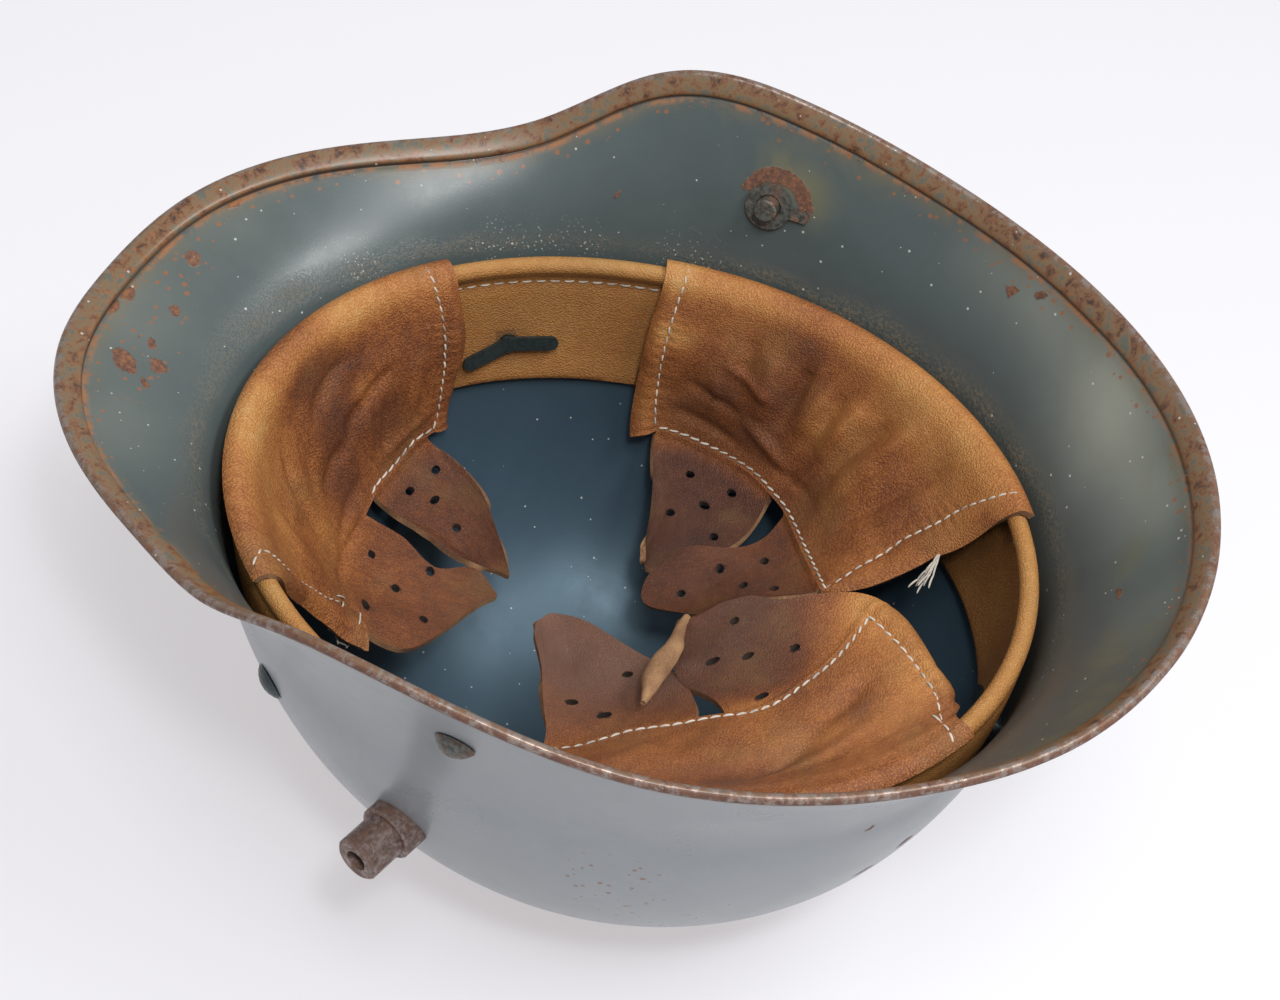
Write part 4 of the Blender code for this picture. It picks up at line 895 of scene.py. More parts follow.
def rust(name):
    """Rust that eats in from a mask with a ragged edge: amount, colour and height."""
    tree, g, given, sink = new_group(
        name, {"Vector": None, "Mask": 0.0, "Scale": 260.0}, ("Amount", "Color", "Height"))
    ragged = g.noise(given["Vector"], given["Scale"], 8.0, 0.68, 0.8)
    wide = g.noise(given["Vector"], g.times(given["Scale"], 0.25), 3.0)
    edge = g.plus(g.times(ragged, 0.75), g.times(wide, 0.45))
    level = g.minus(g.plus(given["Mask"], edge), 1.0)
    amount = g.between(level, 0.0, 0.22)
    tint = g.noise(given["Vector"], g.times(given["Scale"], 1.7), 6.0, 0.7)
    g.feed(sink["Amount"], amount)
    g.feed(sink["Color"], g.ramp(tint, RUST_RAMP))
    g.feed(sink["Height"], g.times(tint, amount))
    return tree


def specks(name):
    """Small scattered specks, from 0 to 1."""
    tree, g, given, sink = new_group(
        name, {"Vector": None, "Scale": 300.0, "Share": 0.1, "Size": 0.12}, ("Amount",))
    cells = g.cells(given["Vector"], given["Scale"])
    parts = g.add("ShaderNodeSeparateColor", {"Color": cells["Color"]})
    chosen = g.maths('LESS_THAN', parts.outputs[0], given["Share"])
    width = g.times(given["Size"], g.plus(parts.outputs[1], 0.35))
    dot = g.maths('LESS_THAN', cells["Distance"], width)
    g.feed(sink["Amount"], g.times(chosen, dot))
    return tree


def weave(name):
    """A plain weave on a UV map in metres: a height and a tint."""
    tree, g, given, sink = new_group(
        name, {"Vector": None, "Thread Scale": 1200.0}, ("Height", "Tint"))
    parts = g.add("ShaderNodeSeparateXYZ", {"Vector": given["Vector"]})
    waves = []
    for axis in (0, 1):
        angle = g.times(g.times(parts.outputs[axis], given["Thread Scale"]), math.pi)
        waves.append(g.maths('ABSOLUTE', g.maths('SINE', angle)))
    over = g.times(waves[0], waves[1])
    slub = g.noise(given["Vector"], 300.0, 4.0)
    g.feed(sink["Height"], g.plus(over, g.times(slub, 0.4)))
    g.feed(sink["Tint"], g.times(g.plus(over, slub), 0.5))
    return tree


def new_material(name, roughness, **uniform):
    """A Principled material, its graph and its shader."""
    material = bpy.data.materials.new(name)
    material.use_nodes = True
    shader = material.node_tree.nodes["Principled BSDF"]
    shader.inputs["Roughness"].default_value = roughness
    for key, value in uniform.items():
        shader.inputs[key.replace("_", " ")].default_value = value
    return material, Graph(material.node_tree), shader


def paint_material(name, look):
    """Old matt paint on the steel, with rust at the fold, stains, dust and specks; inside a pale film that
    is partly painted sheen, outside a pale colour that holds a painted reflection of the floor.
    """
    material, g, shader = new_material(name, roughness=0.4)
    at = g.place()
    inner = g.read("inner")
    rim = g.read("rim")
    height = g.read("height")
    cloud = g.use("Blotches", blotches, {"Vector": at, "Scale": 18.0, "Contrast": 1.2})["Factor"]
    fine = g.use("Blotches", blotches, {"Vector": at, "Scale": 120.0, "Contrast": 1.6})["Factor"]
    inside = g.mix(cloud, shade(look.paint_colour, 0.80), shade(look.paint_colour, 1.15))
    low = g.mix(cloud, shade(look.crown_colour, 0.8), look.crown_colour)
    inside = g.mix(g.between(height, 62.0, 108.0, 1.0, 0.0), inside, low)
    # Outside: the paint's colour paled to hold a painted reflection of the pale floor
    outside = g.mix(cloud, shade(look.outer_colour_with_painted_reflection, 0.85), shade(look.outer_colour_with_painted_reflection, 1.12))
    base = g.mix(inner, outside, inside)
    base = g.mix(g.times(fine, 0.18), base, GRIME)
    # Pale patches: partly a dusty film, partly painted sheen where the flare is lit
    pale = g.times(g.read("film_and_sheen"), g.between(cloud, 0.15, 0.85, 0.75, 1.0))
    base = g.mix(pale, base, look.film_and_sheen_colour)
    streak = g.noise(at, 26.0, 6.0, 0.7, 1.2)
    stain = g.times(g.read("stain"), g.between(streak, 0.40, 0.62))
    base = g.mix(g.times(stain, 0.8, clamp=True), base, STAIN)
    warm = g.between(rim, 6.0, 13.0, 1.0, 0.0)
    haze = g.noise(at, 70.0, 5.0, 0.65)
    halo = g.times(g.times(warm, inner), g.between(haze, 0.36, 0.62))
    base = g.mix(g.times(halo, 0.5), base, RIM_HAZE)
    fold = g.read("fold")
    drab = g.ramp(g.noise(at, 210.0, 8.0, 0.78, 0.3), FOLD_RAMP)
    base = g.mix(g.times(fold, 0.92), base, drab)
    worn = g.use("Rust", rust, {"Vector": at, "Mask": g.read("rust"), "Scale": 430.0})
    base = g.mix(worn["Amount"], base, worn["Color"])
    seam = g.read("seam")
    orange = g.times(seam, g.between(g.noise(at, 180.0, 6.0, 0.7), 0.40, 0.58))
    base = g.mix(g.times(orange, 0.9), base, SEAM_RUST)
    flecks = g.use("Specks", specks, {"Vector": at, "Scale": 520.0, "Share": 0.30, "Size": 0.32})["Amount"]
    flecks = g.times(flecks, g.between(g.times(g.read("freckles"), haze), 0.20, 0.38))
    base = g.mix(g.times(flecks, 0.8), base, FRECKLE)
    base = g.mix(g.times(g.read("groove"), 0.8), base, GROOVE)
    bare = g.times(g.read("edge"), g.between(g.noise(at, 300.0, 5.0, 0.75), 0.46, 0.60))
    base = g.mix(g.times(g.read("edge"), 0.6), base, EDGE_RUST)
    base = g.mix(g.times(bare, 0.8), base, BARE_STEEL)
    ring = g.times(g.read("ring"), g.between(g.noise(at, 900.0, 4.0, 0.75), 0.40, 0.62), clamp=True)
    base = g.mix(g.times(ring, 0.62), base, DUST)
    dots = g.use("Specks", specks, {"Vector": at, "Scale": 420.0, "Share": 0.17, "Size": 0.13})["Amount"]
    near = g.use("Specks", specks, {"Vector": at, "Scale": 1300.0, "Share": 0.4, "Size": 0.30})["Amount"]
    dots = g.maths('MAXIMUM', g.times(dots, inner), g.times(near, g.read("specks")))
    base = g.mix(g.times(dots, 0.75), base, SPECK)
    g.feed(shader.inputs["Base Color"], base)
    rough = g.between(cloud, 0.2, 0.8, look.gloss_roughness - 0.06, look.gloss_roughness + 0.08)
    rough = g.plus(rough, g.times(g.between(height, 40.0, 100.0, 0.08, 0.0), inner))
    rough = g.plus(rough, g.times(g.maths('MAXIMUM', worn["Amount"], orange), 0.25))
    rough = g.plus(rough, g.times(g.read("film_and_sheen"), 0.12))
    rough = g.plus(rough, g.times(ring, 0.3), clamp=True)
    g.feed(shader.inputs["Roughness"], rough)
    cold = g.times(g.between(height, 50.0, 100.0, 1.0, 0.0), inner)
    g.feed(shader.inputs["Specular Tint"], g.mix(cold, WHITE, COLD_SHEEN))
    g.feed(shader.inputs["Metallic"], g.times(bare, 0.7))
    tooth = g.times(g.noise(at, 1500.0, 3.0, 0.6), 0.10)
    lumps = g.plus(tooth, worn["Height"])
    lumps = g.plus(lumps, g.times(ring, 0.8))
    g.feed(shader.inputs["Normal"], g.bump(lumps, 0.5, 0.35 * MM))
    return material


def rusty_metal(name, base, dark, rusty, roughness, cover, bumps=0.7):
    """Steel fittings: bare or painted metal under patchy rust."""
    material, g, shader = new_material(name, roughness=roughness)
    at = g.place()
    worn = g.use("Rust", rust, {"Vector": at, "Mask": cover, "Scale": 420.0})
    fine = g.noise(at, 700.0, 5.0, 0.65)
    colour = g.mix(g.between(fine, 0.35, 0.65), dark, base)
    colour = g.mix(worn["Amount"], colour, g.mix(0.5, worn["Color"], rusty))
    g.feed(shader.inputs["Base Color"], colour)
    g.feed(shader.inputs["Metallic"], g.between(worn["Amount"], 0.0, 1.0, 0.55, 0.1))
    g.feed(shader.inputs["Roughness"], g.between(worn["Amount"], 0.0, 1.0, roughness, roughness + 0.25))
    g.feed(shader.inputs["Normal"], g.bump(g.plus(worn["Height"], g.times(fine, 0.5)), bumps, 0.3 * MM))
    return material


def leather_material(name, look, pebble, wrinkles, mapped=True, olive=0.0):
    """Vegetable-tanned leather whose tone and soil are painted on the piece."""
    roughness = 0.38
    material, g, shader = new_material(name, roughness=roughness, Specular_IOR_Level=0.34)
    at = g.place()
    skin = g.add("ShaderNodeUVMap", uv_map="UVMap").outputs["UV"] if mapped else at
    skin = g.stretched(skin, (1.0, 0.7, 1.0))
    tone = g.read("tone")
    soil = g.read("soil")
    fade = g.read("fade")
    cloud = g.use("Blotches", blotches, {"Vector": at, "Scale": 55.0, "Contrast": 1.5})["Factor"]
    fine = g.use("Blotches", blotches, {"Vector": at, "Scale": 260.0, "Contrast": 1.3})["Factor"]
    grain = g.use("Leather Grain", leather_grain,
                  {"Vector": skin, "Pebble Scale": 1.4 * pebble, "Wrinkles": wrinkles})
    level = g.plus(tone, g.times(g.minus(cloud, 0.5), 0.34))
    level = g.plus(level, g.times(g.minus(fine, 0.5), 0.12))
    level = g.minus(level, g.times(g.minus(grain["Pits"], 0.35), 0.24))
    gold, dark = look.gold_colour, look.dark_colour
    # The top stop pales and greys the gold: the palest leather with a painted highlight on it
    colour = g.ramp(level, ((0.0, shade(dark, 0.4)), (0.22, dark), (0.42, look.brown_colour),
                            (0.62, look.russet_colour), (0.82, gold),
                            (1.0, [x * f for x, f in zip(gold, (1.1, 1.4, 1.8))])))
    colour = g.mix(olive, colour, OLIVE)
    patch = g.between(g.noise(at, 36.0, 4.0, 0.6), 0.48, 0.68)
    colour = g.mix(g.times(patch, 0.24), colour, OLIVE_PATCH)
    colour = g.mix(g.times(fade, 0.65), colour, GREYED)
    dirt = g.times(soil, g.between(cloud, 0.2, 0.75), clamp=True)
    colour = g.mix(g.times(dirt, 0.85), colour, LEATHER_DIRT)
    g.feed(shader.inputs["Base Color"], colour)
    rough = g.between(fine, 0.2, 0.8, roughness - 0.06, roughness + 0.10)
    g.feed(shader.inputs["Roughness"], g.plus(rough, g.times(grain["Pits"], 0.12), clamp=True))
    g.feed(shader.inputs["Normal"], g.bump(grain["Height"], 0.85, 0.30 * MM))
    return material


def suede_material(name, pale, deep):
    """The flesh side or the cut edge of the leather: pale and fibrous."""
    material, g, shader = new_material(name, roughness=0.85)
    at = g.place()
    fibres = g.noise(at, 1800.0, 5.0, 0.75)
    cloud = g.noise(at, 90.0, 4.0)
    colour = g.mix(g.between(g.plus(fibres, cloud), 0.8, 1.2), deep, pale)
    g.feed(shader.inputs["Base Color"], colour)
    g.feed(shader.inputs["Normal"], g.bump(fibres, 0.5, 0.25 * MM))
    return material


def thread_material(name, look):
    """Twisted linen thread, dirty in places."""
    material, g, shader = new_material(name, roughness=0.8)
    at = g.place()
    dirty = g.noise(at, 160.0, 4.0)
    twist = g.noise(at, 4200.0, 3.0)
    colour = g.mix(g.between(g.plus(dirty, g.times(twist, 0.4)), 0.45, 0.85),
                   shade(look.thread_colour, 0.45), look.thread_colour)
    g.feed(shader.inputs["Base Color"], colour)
    g.feed(shader.inputs["Normal"], g.bump(twist, 0.6, 0.12 * MM))
    return material


def cloth_material(name, pale, shadow, thread_scale):
    """Woven cloth: its colour, how dark that gets, and how fine its threads are."""
    material, g, shader = new_material(name, roughness=0.9)
    cloth = g.use("Weave", weave,
                  {"Vector": g.add("ShaderNodeUVMap", uv_map="UVMap").outputs["UV"],
                   "Thread Scale": thread_scale})
    stain = g.noise(g.place(), 60.0, 4.0)
    tint = g.plus(g.times(cloth["Tint"], 0.6), g.times(stain, 0.5))
    g.feed(shader.inputs["Base Color"], g.mix(g.between(tint, 0.3, 0.8), shade(pale, shadow), pale))
    g.feed(shader.inputs["Normal"], g.bump(cloth["Height"], 0.6, 0.25 * MM))
    return material


def material_named(name, build, *given, **settings):
    """A material of this name, built when it is first asked for."""
    return bpy.data.materials.get(name) or build(name, *given, **settings)


# ---------------------------------------------------------------- pieces


def shell_rows():
    """Rows of the shell from the crown's outside over the rim to the crown's inside.

    A row is a kind, a value and a depth: "far" is a share of the way from the crown to
    the fold, and "back" a distance from the rim's bead."""
    rows = [("far", s, 0.0) for s in np.linspace(0, 1, OUTSIDE_ROWS)]
    rows += [("back", b * MM, 0.0) for b in RIM_ROWS]
    for degrees in range(BEAD_STEP, 180, BEAD_STEP):
        bead = math.radians(degrees)
        rows.append(("back", -FOLD_THICKNESS / 2 * math.sin(bead),
                     FOLD_THICKNESS / 2 * (1 - math.cos(bead))))
    rows += [("back", b * MM, FOLD_THICKNESS + d * MM) for b, d in FOLD_ROWS]
    rows += [("back", b * MM, d * MM) for b, d in STEP_ROWS]
    rows += [("far", s, SHEET) for s in np.linspace(1, 0, INSIDE_ROWS)]
    return rows


class HELMET_PG_shell(bpy.types.PropertyGroup):
    """Paint and wear of the steel shell"""
    paint_colour: FloatVectorProperty(name="Paint", description="Paint inside the flare", subtype='COLOR',
                                      size=3, default=(0.074, 0.096, 0.097), min=0, max=1)
    crown_colour: FloatVectorProperty(name="Crown", description="Darker paint inside the crown",
                                      subtype='COLOR', size=3, default=(0.038, 0.068, 0.096), min=0, max=1)
    # The same paint as inside, made far paler outside: a painted reflection of the pale floor
    outer_colour_with_painted_reflection: FloatVectorProperty(name="Outer paint", description="Paint outside", subtype='COLOR',
                                      size=3, default=(0.375, 0.392, 0.410), min=0, max=1)
    # Pale colour of a dusty film that also stands for painted sheen on the lit flare
    film_and_sheen_colour: FloatVectorProperty(name="Film", description="Pale film on the lit parts of the flare",
                                     subtype='COLOR', size=3, default=(0.27, 0.275, 0.225), min=0, max=1)
    gloss_roughness: FloatProperty(name="Roughness", description="Middle roughness of the paint",
                                   default=0.31, min=0.1, max=1.0)
    dent_depth: FloatProperty(name="Dents", description="Depth of the shallow press marks",
                              default=0.12 * MM, unit='LENGTH', subtype='DISTANCE')
    fold_waver: FloatProperty(name="Fold waver", description="How far the fold's edge wanders",
                              default=0.35 * MM, unit='LENGTH', subtype='DISTANCE')


class HELMET_OT_shell(bpy.types.Operator):
    """Model the pressed shell with its rolled rim"""
    bl_idname = "helmet.build_shell"
    bl_label = "Shell"

    def execute(self, context):
        look = context.scene.helmet_shell
        rows = shell_rows()
        azimuth = np.linspace(0, 360, SHELL_COLUMNS + 1)
        lengths = wall_lines(azimuth)[2][:, -1] - FOLD_THICKNESS / 2
        back = np.zeros((SHELL_COLUMNS + 1, len(rows)))
        depth = np.zeros_like(back)
        turn = np.radians(azimuth)
        round_about = np.stack([np.cos(turn), np.sin(turn), 0 * azimuth], -1) * 0.1
        waver = 1 + ripple(round_about, 0.05, 3) * look.fold_waver / FOLD_WIDTH
        for j, (kind, value, deep) in enumerate(rows):
            if kind == "far":
                back[:, j] = RIM_ROOM + (lengths + 0.4 * MM - RIM_ROOM) * (1 - value)
            else:
                back[:, j] = value * (waver if value > 3 * MM and deep > 0 else 1.0)
            depth[:, j] = deep
        at = on_wall(azimuth, back, depth)
        wide = ripple(at, 0.045, 11) * look.dent_depth * 0.7
        small = ripple(at, 0.019, 12) * look.dent_depth * 0.3
        at = on_wall(azimuth, back, depth + (wide + small))
        obj, i, j = grid("steel_shell", SHELL_COLUMNS, len(rows) - 1)
        shape(obj, at[i, j])
        self.wear(obj, (j >= INSIDE_FROM_ROW).astype(float), back[i, j] / MM)
        tidy(obj)
        holes = []
        for sign in (1, -1):
            holes.append((wall_matrix(sign * LUG_AZIMUTH, LUG_HEIGHT), LUG_HOLE, *LUG_CUT))
            holes.append((wall_matrix(sign * POST_AZIMUTH, POST_HEIGHT), POST_HOLE, *SHELL_CUT))
        holes += [(wall_matrix(a, h), PIN_HOLE, *SHELL_CUT) for a, h in PINS]
        cut_holes(obj, holes)
        smooth(obj, 40)
        paint_of_shell = material_named("helmet_paint", paint_material, look)
        finish_with(obj, [paint_of_shell], "shell_and_band", "shell", "shell")
        return {'FINISHED'}

    def wear(self, obj, inner, behind):
        """Store where the steel is rusty, stained, dusty and bare, and where painted sheen lies.

        inner is 1 inside and 0 outside, and behind a distance from the bead in mm."""
        here = points_of(obj)
        inside = inner > 0
        paint(obj, "inner", inner)
        paint(obj, "rim", np.clip(behind, 0, 60))
        paint(obj, "height", here[:, 2] / MM)
        wander = ripple(here, 0.021, 21)
        on_fold = np.clip((6.2 - behind) / 0.6, 0, 1)
        skirt = bell(behind, 7.0, 1.6 + 1.3 * wander + 0.8 * ripple(here, 0.007, 22))
        rusty = np.where(inside, 0.22 * on_fold + 0.40 * skirt * (behind > 6), 0.50 * np.exp(-behind / 1.2))
        for table, deep, side in ((INNER_RUST, SHEET, 1.0), (OUTER_RUST, 0.0, 0.0)):
            rusty = rusty + marks(here, table, deep) * (inner == side)
        paint(obj, "rust", rusty)
        paint(obj, "fold", inner * on_fold + (1 - inner) * np.exp(-behind / 0.9))
        seam = bell(behind, 6.9, 0.8) + 0.3 * bell(behind, 5.2, 0.5)
        paint(obj, "seam", inside * seam)
        paint(obj, "groove", inside * bell(behind, 6.0, 0.24))
        paint(obj, "edge", bell(behind, -0.9, 0.7))
        # The pale patches are partly dusty film and partly painted sheen
        for name, table in (("stain", INNER_STAIN), ("film_and_sheen", INNER_FILM_AND_SHEEN)):
            paint(obj, name, np.clip(marks(here, table, SHEET), 0, 1) * inner)
        freckled = inner * bell(behind, 8.0, 5.0)
        for table, deep, side in ((FRECKLED, SHEET, 1.0), (OUTER_FRECKLED, 0.0, 0.0)):
            freckled += (inner == side) * marks(here, table, deep)
        paint(obj, "freckles", np.clip(freckled, 0, 1))
        level = here[:, 2] / MM - DUST_HEIGHT - 0.8 * ripple(here, 0.03, 31)
        turned = np.degrees(np.arctan2(here[:, 0], BOWL_CENTRE_Y - here[:, 1]))
        thick = 0.55 + 0.75 * bell(turned, -122, 34)
        dust = inner * bell(level, 0, 1.5 + 1.6 * thick) * thick
        paint(obj, "ring", dust * (1 + 0.5 * ripple(here, 0.012, 32)))
        paint(obj, "specks", inner * np.clip(marks(here, WHITE_SPECKS, SHEET), 0, 1))


class HELMET_PG_fittings(bpy.types.PropertyGroup):
    """Colours of the steel fittings"""
    lug_colour: FloatVectorProperty(name="Lugs", description="Rusty steel of the vent lugs",
                                    subtype='COLOR', size=3, default=(0.15, 0.095, 0.075), min=0, max=1)
    stud_colour: FloatVectorProperty(name="Studs", description="Steel of posts and washers",
                                     subtype='COLOR', size=3, default=(0.15, 0.155, 0.14), min=0, max=1)
    pin_colour: FloatVectorProperty(name="Pins", description="Painted steel of the split pins",
                                    subtype='COLOR', size=3, default=(0.050, 0.068, 0.070), min=0, max=1)


class HELMET_OT_fittings(bpy.types.Operator):
    """Give the lugs, posts, washers and split pins their metal"""
    bl_idname = "helmet.build_fittings"
    bl_label = "Fittings"

    def execute(self, context):
        look = context.scene.helmet_fittings
        lug = material_named("lug_steel", rusty_metal, (0.34, 0.26, 0.24), (0.13, 0.085, 0.07),
                             look.lug_colour, roughness=0.36, cover=0.50)
        stud = material_named("stud_steel", rusty_metal, look.stud_colour, (0.06, 0.062, 0.055),
                              (0.19, 0.09, 0.045), roughness=0.42, cover=0.46)
        pin = material_named("pin_steel", rusty_metal, look.pin_colour, (0.034, 0.046, 0.048),
                             (0.10, 0.045, 0.028), roughness=0.40, cover=0.24, bumps=0.2)
        for name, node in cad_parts.items():
            for start, finish in (("vent_lug", lug), ("chinstrap", stud), ("split_pin", pin)):
                if name.startswith(start):
                    for place_for in node.material_slots:
                        place_for.material = finish
        return {'FINISHED'}


class HELMET_PG_leather(bpy.types.PropertyGroup):
    """Leather and thread of the liner"""
    gold_colour: FloatVectorProperty(name="Gold", description="Palest leather", subtype='COLOR', size=3,
                                     default=(0.48, 0.215, 0.062), min=0, max=1)
    russet_colour: FloatVectorProperty(name="Russet", description="Clean leather", subtype='COLOR', size=3,
                                       default=(0.36, 0.132, 0.038), min=0, max=1)
    brown_colour: FloatVectorProperty(name="Brown", description="Middle leather", subtype='COLOR', size=3,
                                      default=(0.20, 0.064, 0.022), min=0, max=1)
    dark_colour: FloatVectorProperty(name="Dark", description="Worn dark leather", subtype='COLOR', size=3,
                                     default=(0.095, 0.036, 0.021), min=0, max=1)
    thread_colour: FloatVectorProperty(name="Thread", description="Linen thread", subtype='COLOR', size=3,
                                       default=(0.62, 0.56, 0.48), min=0, max=1)
    stitch_step: FloatProperty(name="Stitch step", description="From one stitch to the next",
                               default=3.3 * MM, unit='LENGTH', subtype='DISTANCE')
    thread_radius: FloatProperty(name="Thread", description="Radius of the thread", default=0.33 * MM,
                                 unit='LENGTH', subtype='DISTANCE')


def band_outline(azimuth):
    """The band's cross-section: up its back, over the roll and down its face."""
    lines = []
    for z in np.linspace(BAND_BOTTOM + 0.5 * MM, BAND_TOP - 2 * MM, 10):
        lines.append(place(azimuth, *bowl_point(azimuth, z, band_depth(z) + 0.05 * MM)))
    for degrees in range(-40, 226, 19):
        lines.append(round_roll(azimuth, ROLL_RADIUS, degrees))
    for z, thick in BAND_FACE:
        lines.append(place(azimuth, *bowl_point(azimuth, z * MM, band_depth(z * MM) + thick * MM)))
    return np.stack(lines, axis=1)


class HELMET_OT_band(bpy.types.Operator):
    """Model the leather band with its rolled and stitched edge"""
    bl_idname = "helmet.build_band"
    bl_label = "Liner band"

    def execute(self, context):
        look = context.scene.helmet_leather
        azimuth = np.linspace(0, 360, BAND_COLUMNS + 1)
        lines = band_outline(azimuth)
        rows = lines.shape[1]
        lines = np.concatenate([lines, lines[:, :1]], axis=1)
        obj, i, j = grid("liner_band", BAND_COLUMNS, rows)
        at = lines[i, j]
        centre = np.array((0, BOWL_CENTRE_Y, 0.09))
        inward = centre - at
        inward[:, 2] = 0
        inward /= np.linalg.norm(inward, axis=1)[:, None]
        face = (j > 24) & (j < rows - 3)
        at = at + inward * (face * ripple(at, 0.03, 41) * 0.22 * MM)[:, None]
        shape(obj, at)
        tidy(obj)
        at = points_of(obj)
        height = at[:, 2] / MM
        tone = 0.74 + 0.12 * bell(height, 118.5, 1.6) - 0.08 * bell(height, BAND_SEAM_HEIGHT, 0.9)
        tone = tone + 0.06 * ripple(at, 0.04, 42) - 0.10 * bell(height, 73, 2.5)
        rear = bell(at[:, 1], 0.115, 0.03)
        tone = tone - 0.10 * rear * (height < 112)
        pins = marks(at, PIN_MARKS, 4 * MM)
        paint(obj, "tone", tone - 0.18 * pins)
        paint(obj, "soil", 0.7 * pins + 0.12 * rear * (height < 100))
        paint(obj, "fade", 0.0 * tone)
        holes = [(wall_matrix(a, h), PIN_HOLE, *BAND_CUT) for a, h in PINS]
        for sign in (1, -1):
            holes.append((wall_matrix(sign * LUG_AZIMUTH, LUG_HEIGHT), LUG_HOLE_IN_BAND, *BAND_CUT))
        cut_holes(obj, holes)
        smooth(obj, 50)
        leather = material_named("band_leather", leather_material, look, pebble=1500.0, wrinkles=0.05,
                                 mapped=False, olive=0.26)
        finish_with(obj, [leather], "shell_and_band", "headband", "headband", "headband_piping")
        return {'FINISHED'}


def seam_line(key, u):
    """The v of a pad's seam at each u."""
    points = np.array(PAD_LOOKS[key]["seam"])
    return np.interp(u, points[:, 0], points[:, 1])


def pad_edges(key, v):
    """Where a pad starts and ends in u at each v."""
    table = np.array(PAD_LOOKS[key]["edges"])
    return np.interp(v, table[:, 0], table[:, 1]), np.interp(v, table[:, 0], table[:, 2])


def stroke(u, v, scale, line):
    """How strongly a crease acts at each place: a soft line between two places."""
    u0, v0, u1, v1, width, height = line
    p = np.stack([u * scale[0], v * scale[1]], -1)
    a, b = np.array([u0 * scale[0], v0 * scale[1]]), np.array([u1 * scale[0], v1 * scale[1]])
    t = np.clip(((p - a) @ (b - a)) / ((b - a) @ (b - a)), 0, 1)
    gap = np.linalg.norm(p - a - t[:, None] * (b - a), axis=1)
    ends = np.sin(np.clip(t, 0.02, 0.98) * np.pi) ** 0.5
    return height * np.exp(-(gap / width) ** 2 * 1.6) * ends


def hem_places(key, u, v):
    """Distance in mm inside each hem's stitching, and how far across its strip."""
    look = PAD_LOOKS[key]
    wide = look["scale"][0]
    ends = pad_edges(key, v)
    made = []
    for hem, end, way in zip(look["hems"], ends, (1, -1)):
        hem = np.array(hem)
        line = np.interp(v, hem[:, 1], hem[:, 0])
        inside = (u - line) * wide * way
        strip = np.maximum((line - end) * wide * way, 0.5)
        made.append((inside, np.clip(-inside / strip, 0, 1)))
    return made


# Where the cushions fill a pad, as spans of u, how far they lift it in mm, and how much the
# creases are deepened
FILLED_SPANS = ((0.10, 0.49), (0.51, 0.90))
FILLED_RISE = 0.9
CREASE_GAIN = 1.25


def pad_relief(key, face, u, v, zone):
    """How far the leather stands off the pad's plain surface, in mm."""
    look = PAD_LOOKS[key]
    scale = look["scale"]
    body = zone == 0
    relief = np.zeros(len(u))
    for line in look["creases"]:
        relief += CREASE_GAIN * stroke(u, v, scale, line) * body
    for a0, a1 in FILLED_SPANS:
        a = np.clip((u - a0) / (a1 - a0), 0, 1)
        b = np.clip((v - 0.55) / 1.35, 0, 1)
        relief += FILLED_RISE * (1 - np.abs(2 * a - 1) ** 3) * np.sin(np.pi * b) * body
    at = face.at(u, v)
    relief += (0.28 * ripple(at, 0.022, 51) + 0.14 * ripple(at, 0.009, 52)) * np.clip(v * 3, 0, 1)
    inside = np.clip(v * 4 + 1, 0, 1) * body
    for (hem, strip), puff, turn in zip(hem_places(key, u, v), look["puffs"], look["turns"]):
        roll = puff * np.sin(np.pi * strip ** 0.9) - turn * strip ** 4
        relief += inside * (-0.45 * bell(hem, 0, 0.9) + roll * np.clip(v / 0.35, 0.25, 1))
        gather = np.sin(v * scale[1] * 1.5 + 2.0 * ripple(at, 0.02, 53)) * bell(hem, 0, 4.5)
        relief += inside * 0.13 * gather
    seam = seam_line(key, u)
    below = (v - seam) * scale[1]
    relief += np.where(body, -0.30 * bell(below, -1.6, 1.0), 0.0)
    first, last = look["stitched"]
    sewn = np.clip((u - first + 0.03) * 30, 0, 1) * np.clip((last + 0.03 - u) * 30, 0, 1)
    relief -= np.where(zone > 0, 1.1 * np.clip(below / 0.9, 0, 1) * sewn, 0.0)
    return relief


# A pad's grid: columns before, on, between, on and after its tongues; its rows; and the
# rows round the lip's end that are smoothed, with the number of rounds
PAD_COLUMNS = (10, 64, 6, 64, 14)
LIP_ROWS, BODY_ROWS, TONGUE_ROWS = 18, 86, 60
LIP_ROW_HEIGHT = 0.56
SMOOTHED_ROWS = (LIP_ROWS - 8, LIP_ROWS + 22)
SMOOTHING_ROUNDS = 60
CURL_COLUMNS, CURL_ROWS = 56, 26
CURL_START, CURL_TURN = -15, 290
CURL_SHEET = 0.9 * MM


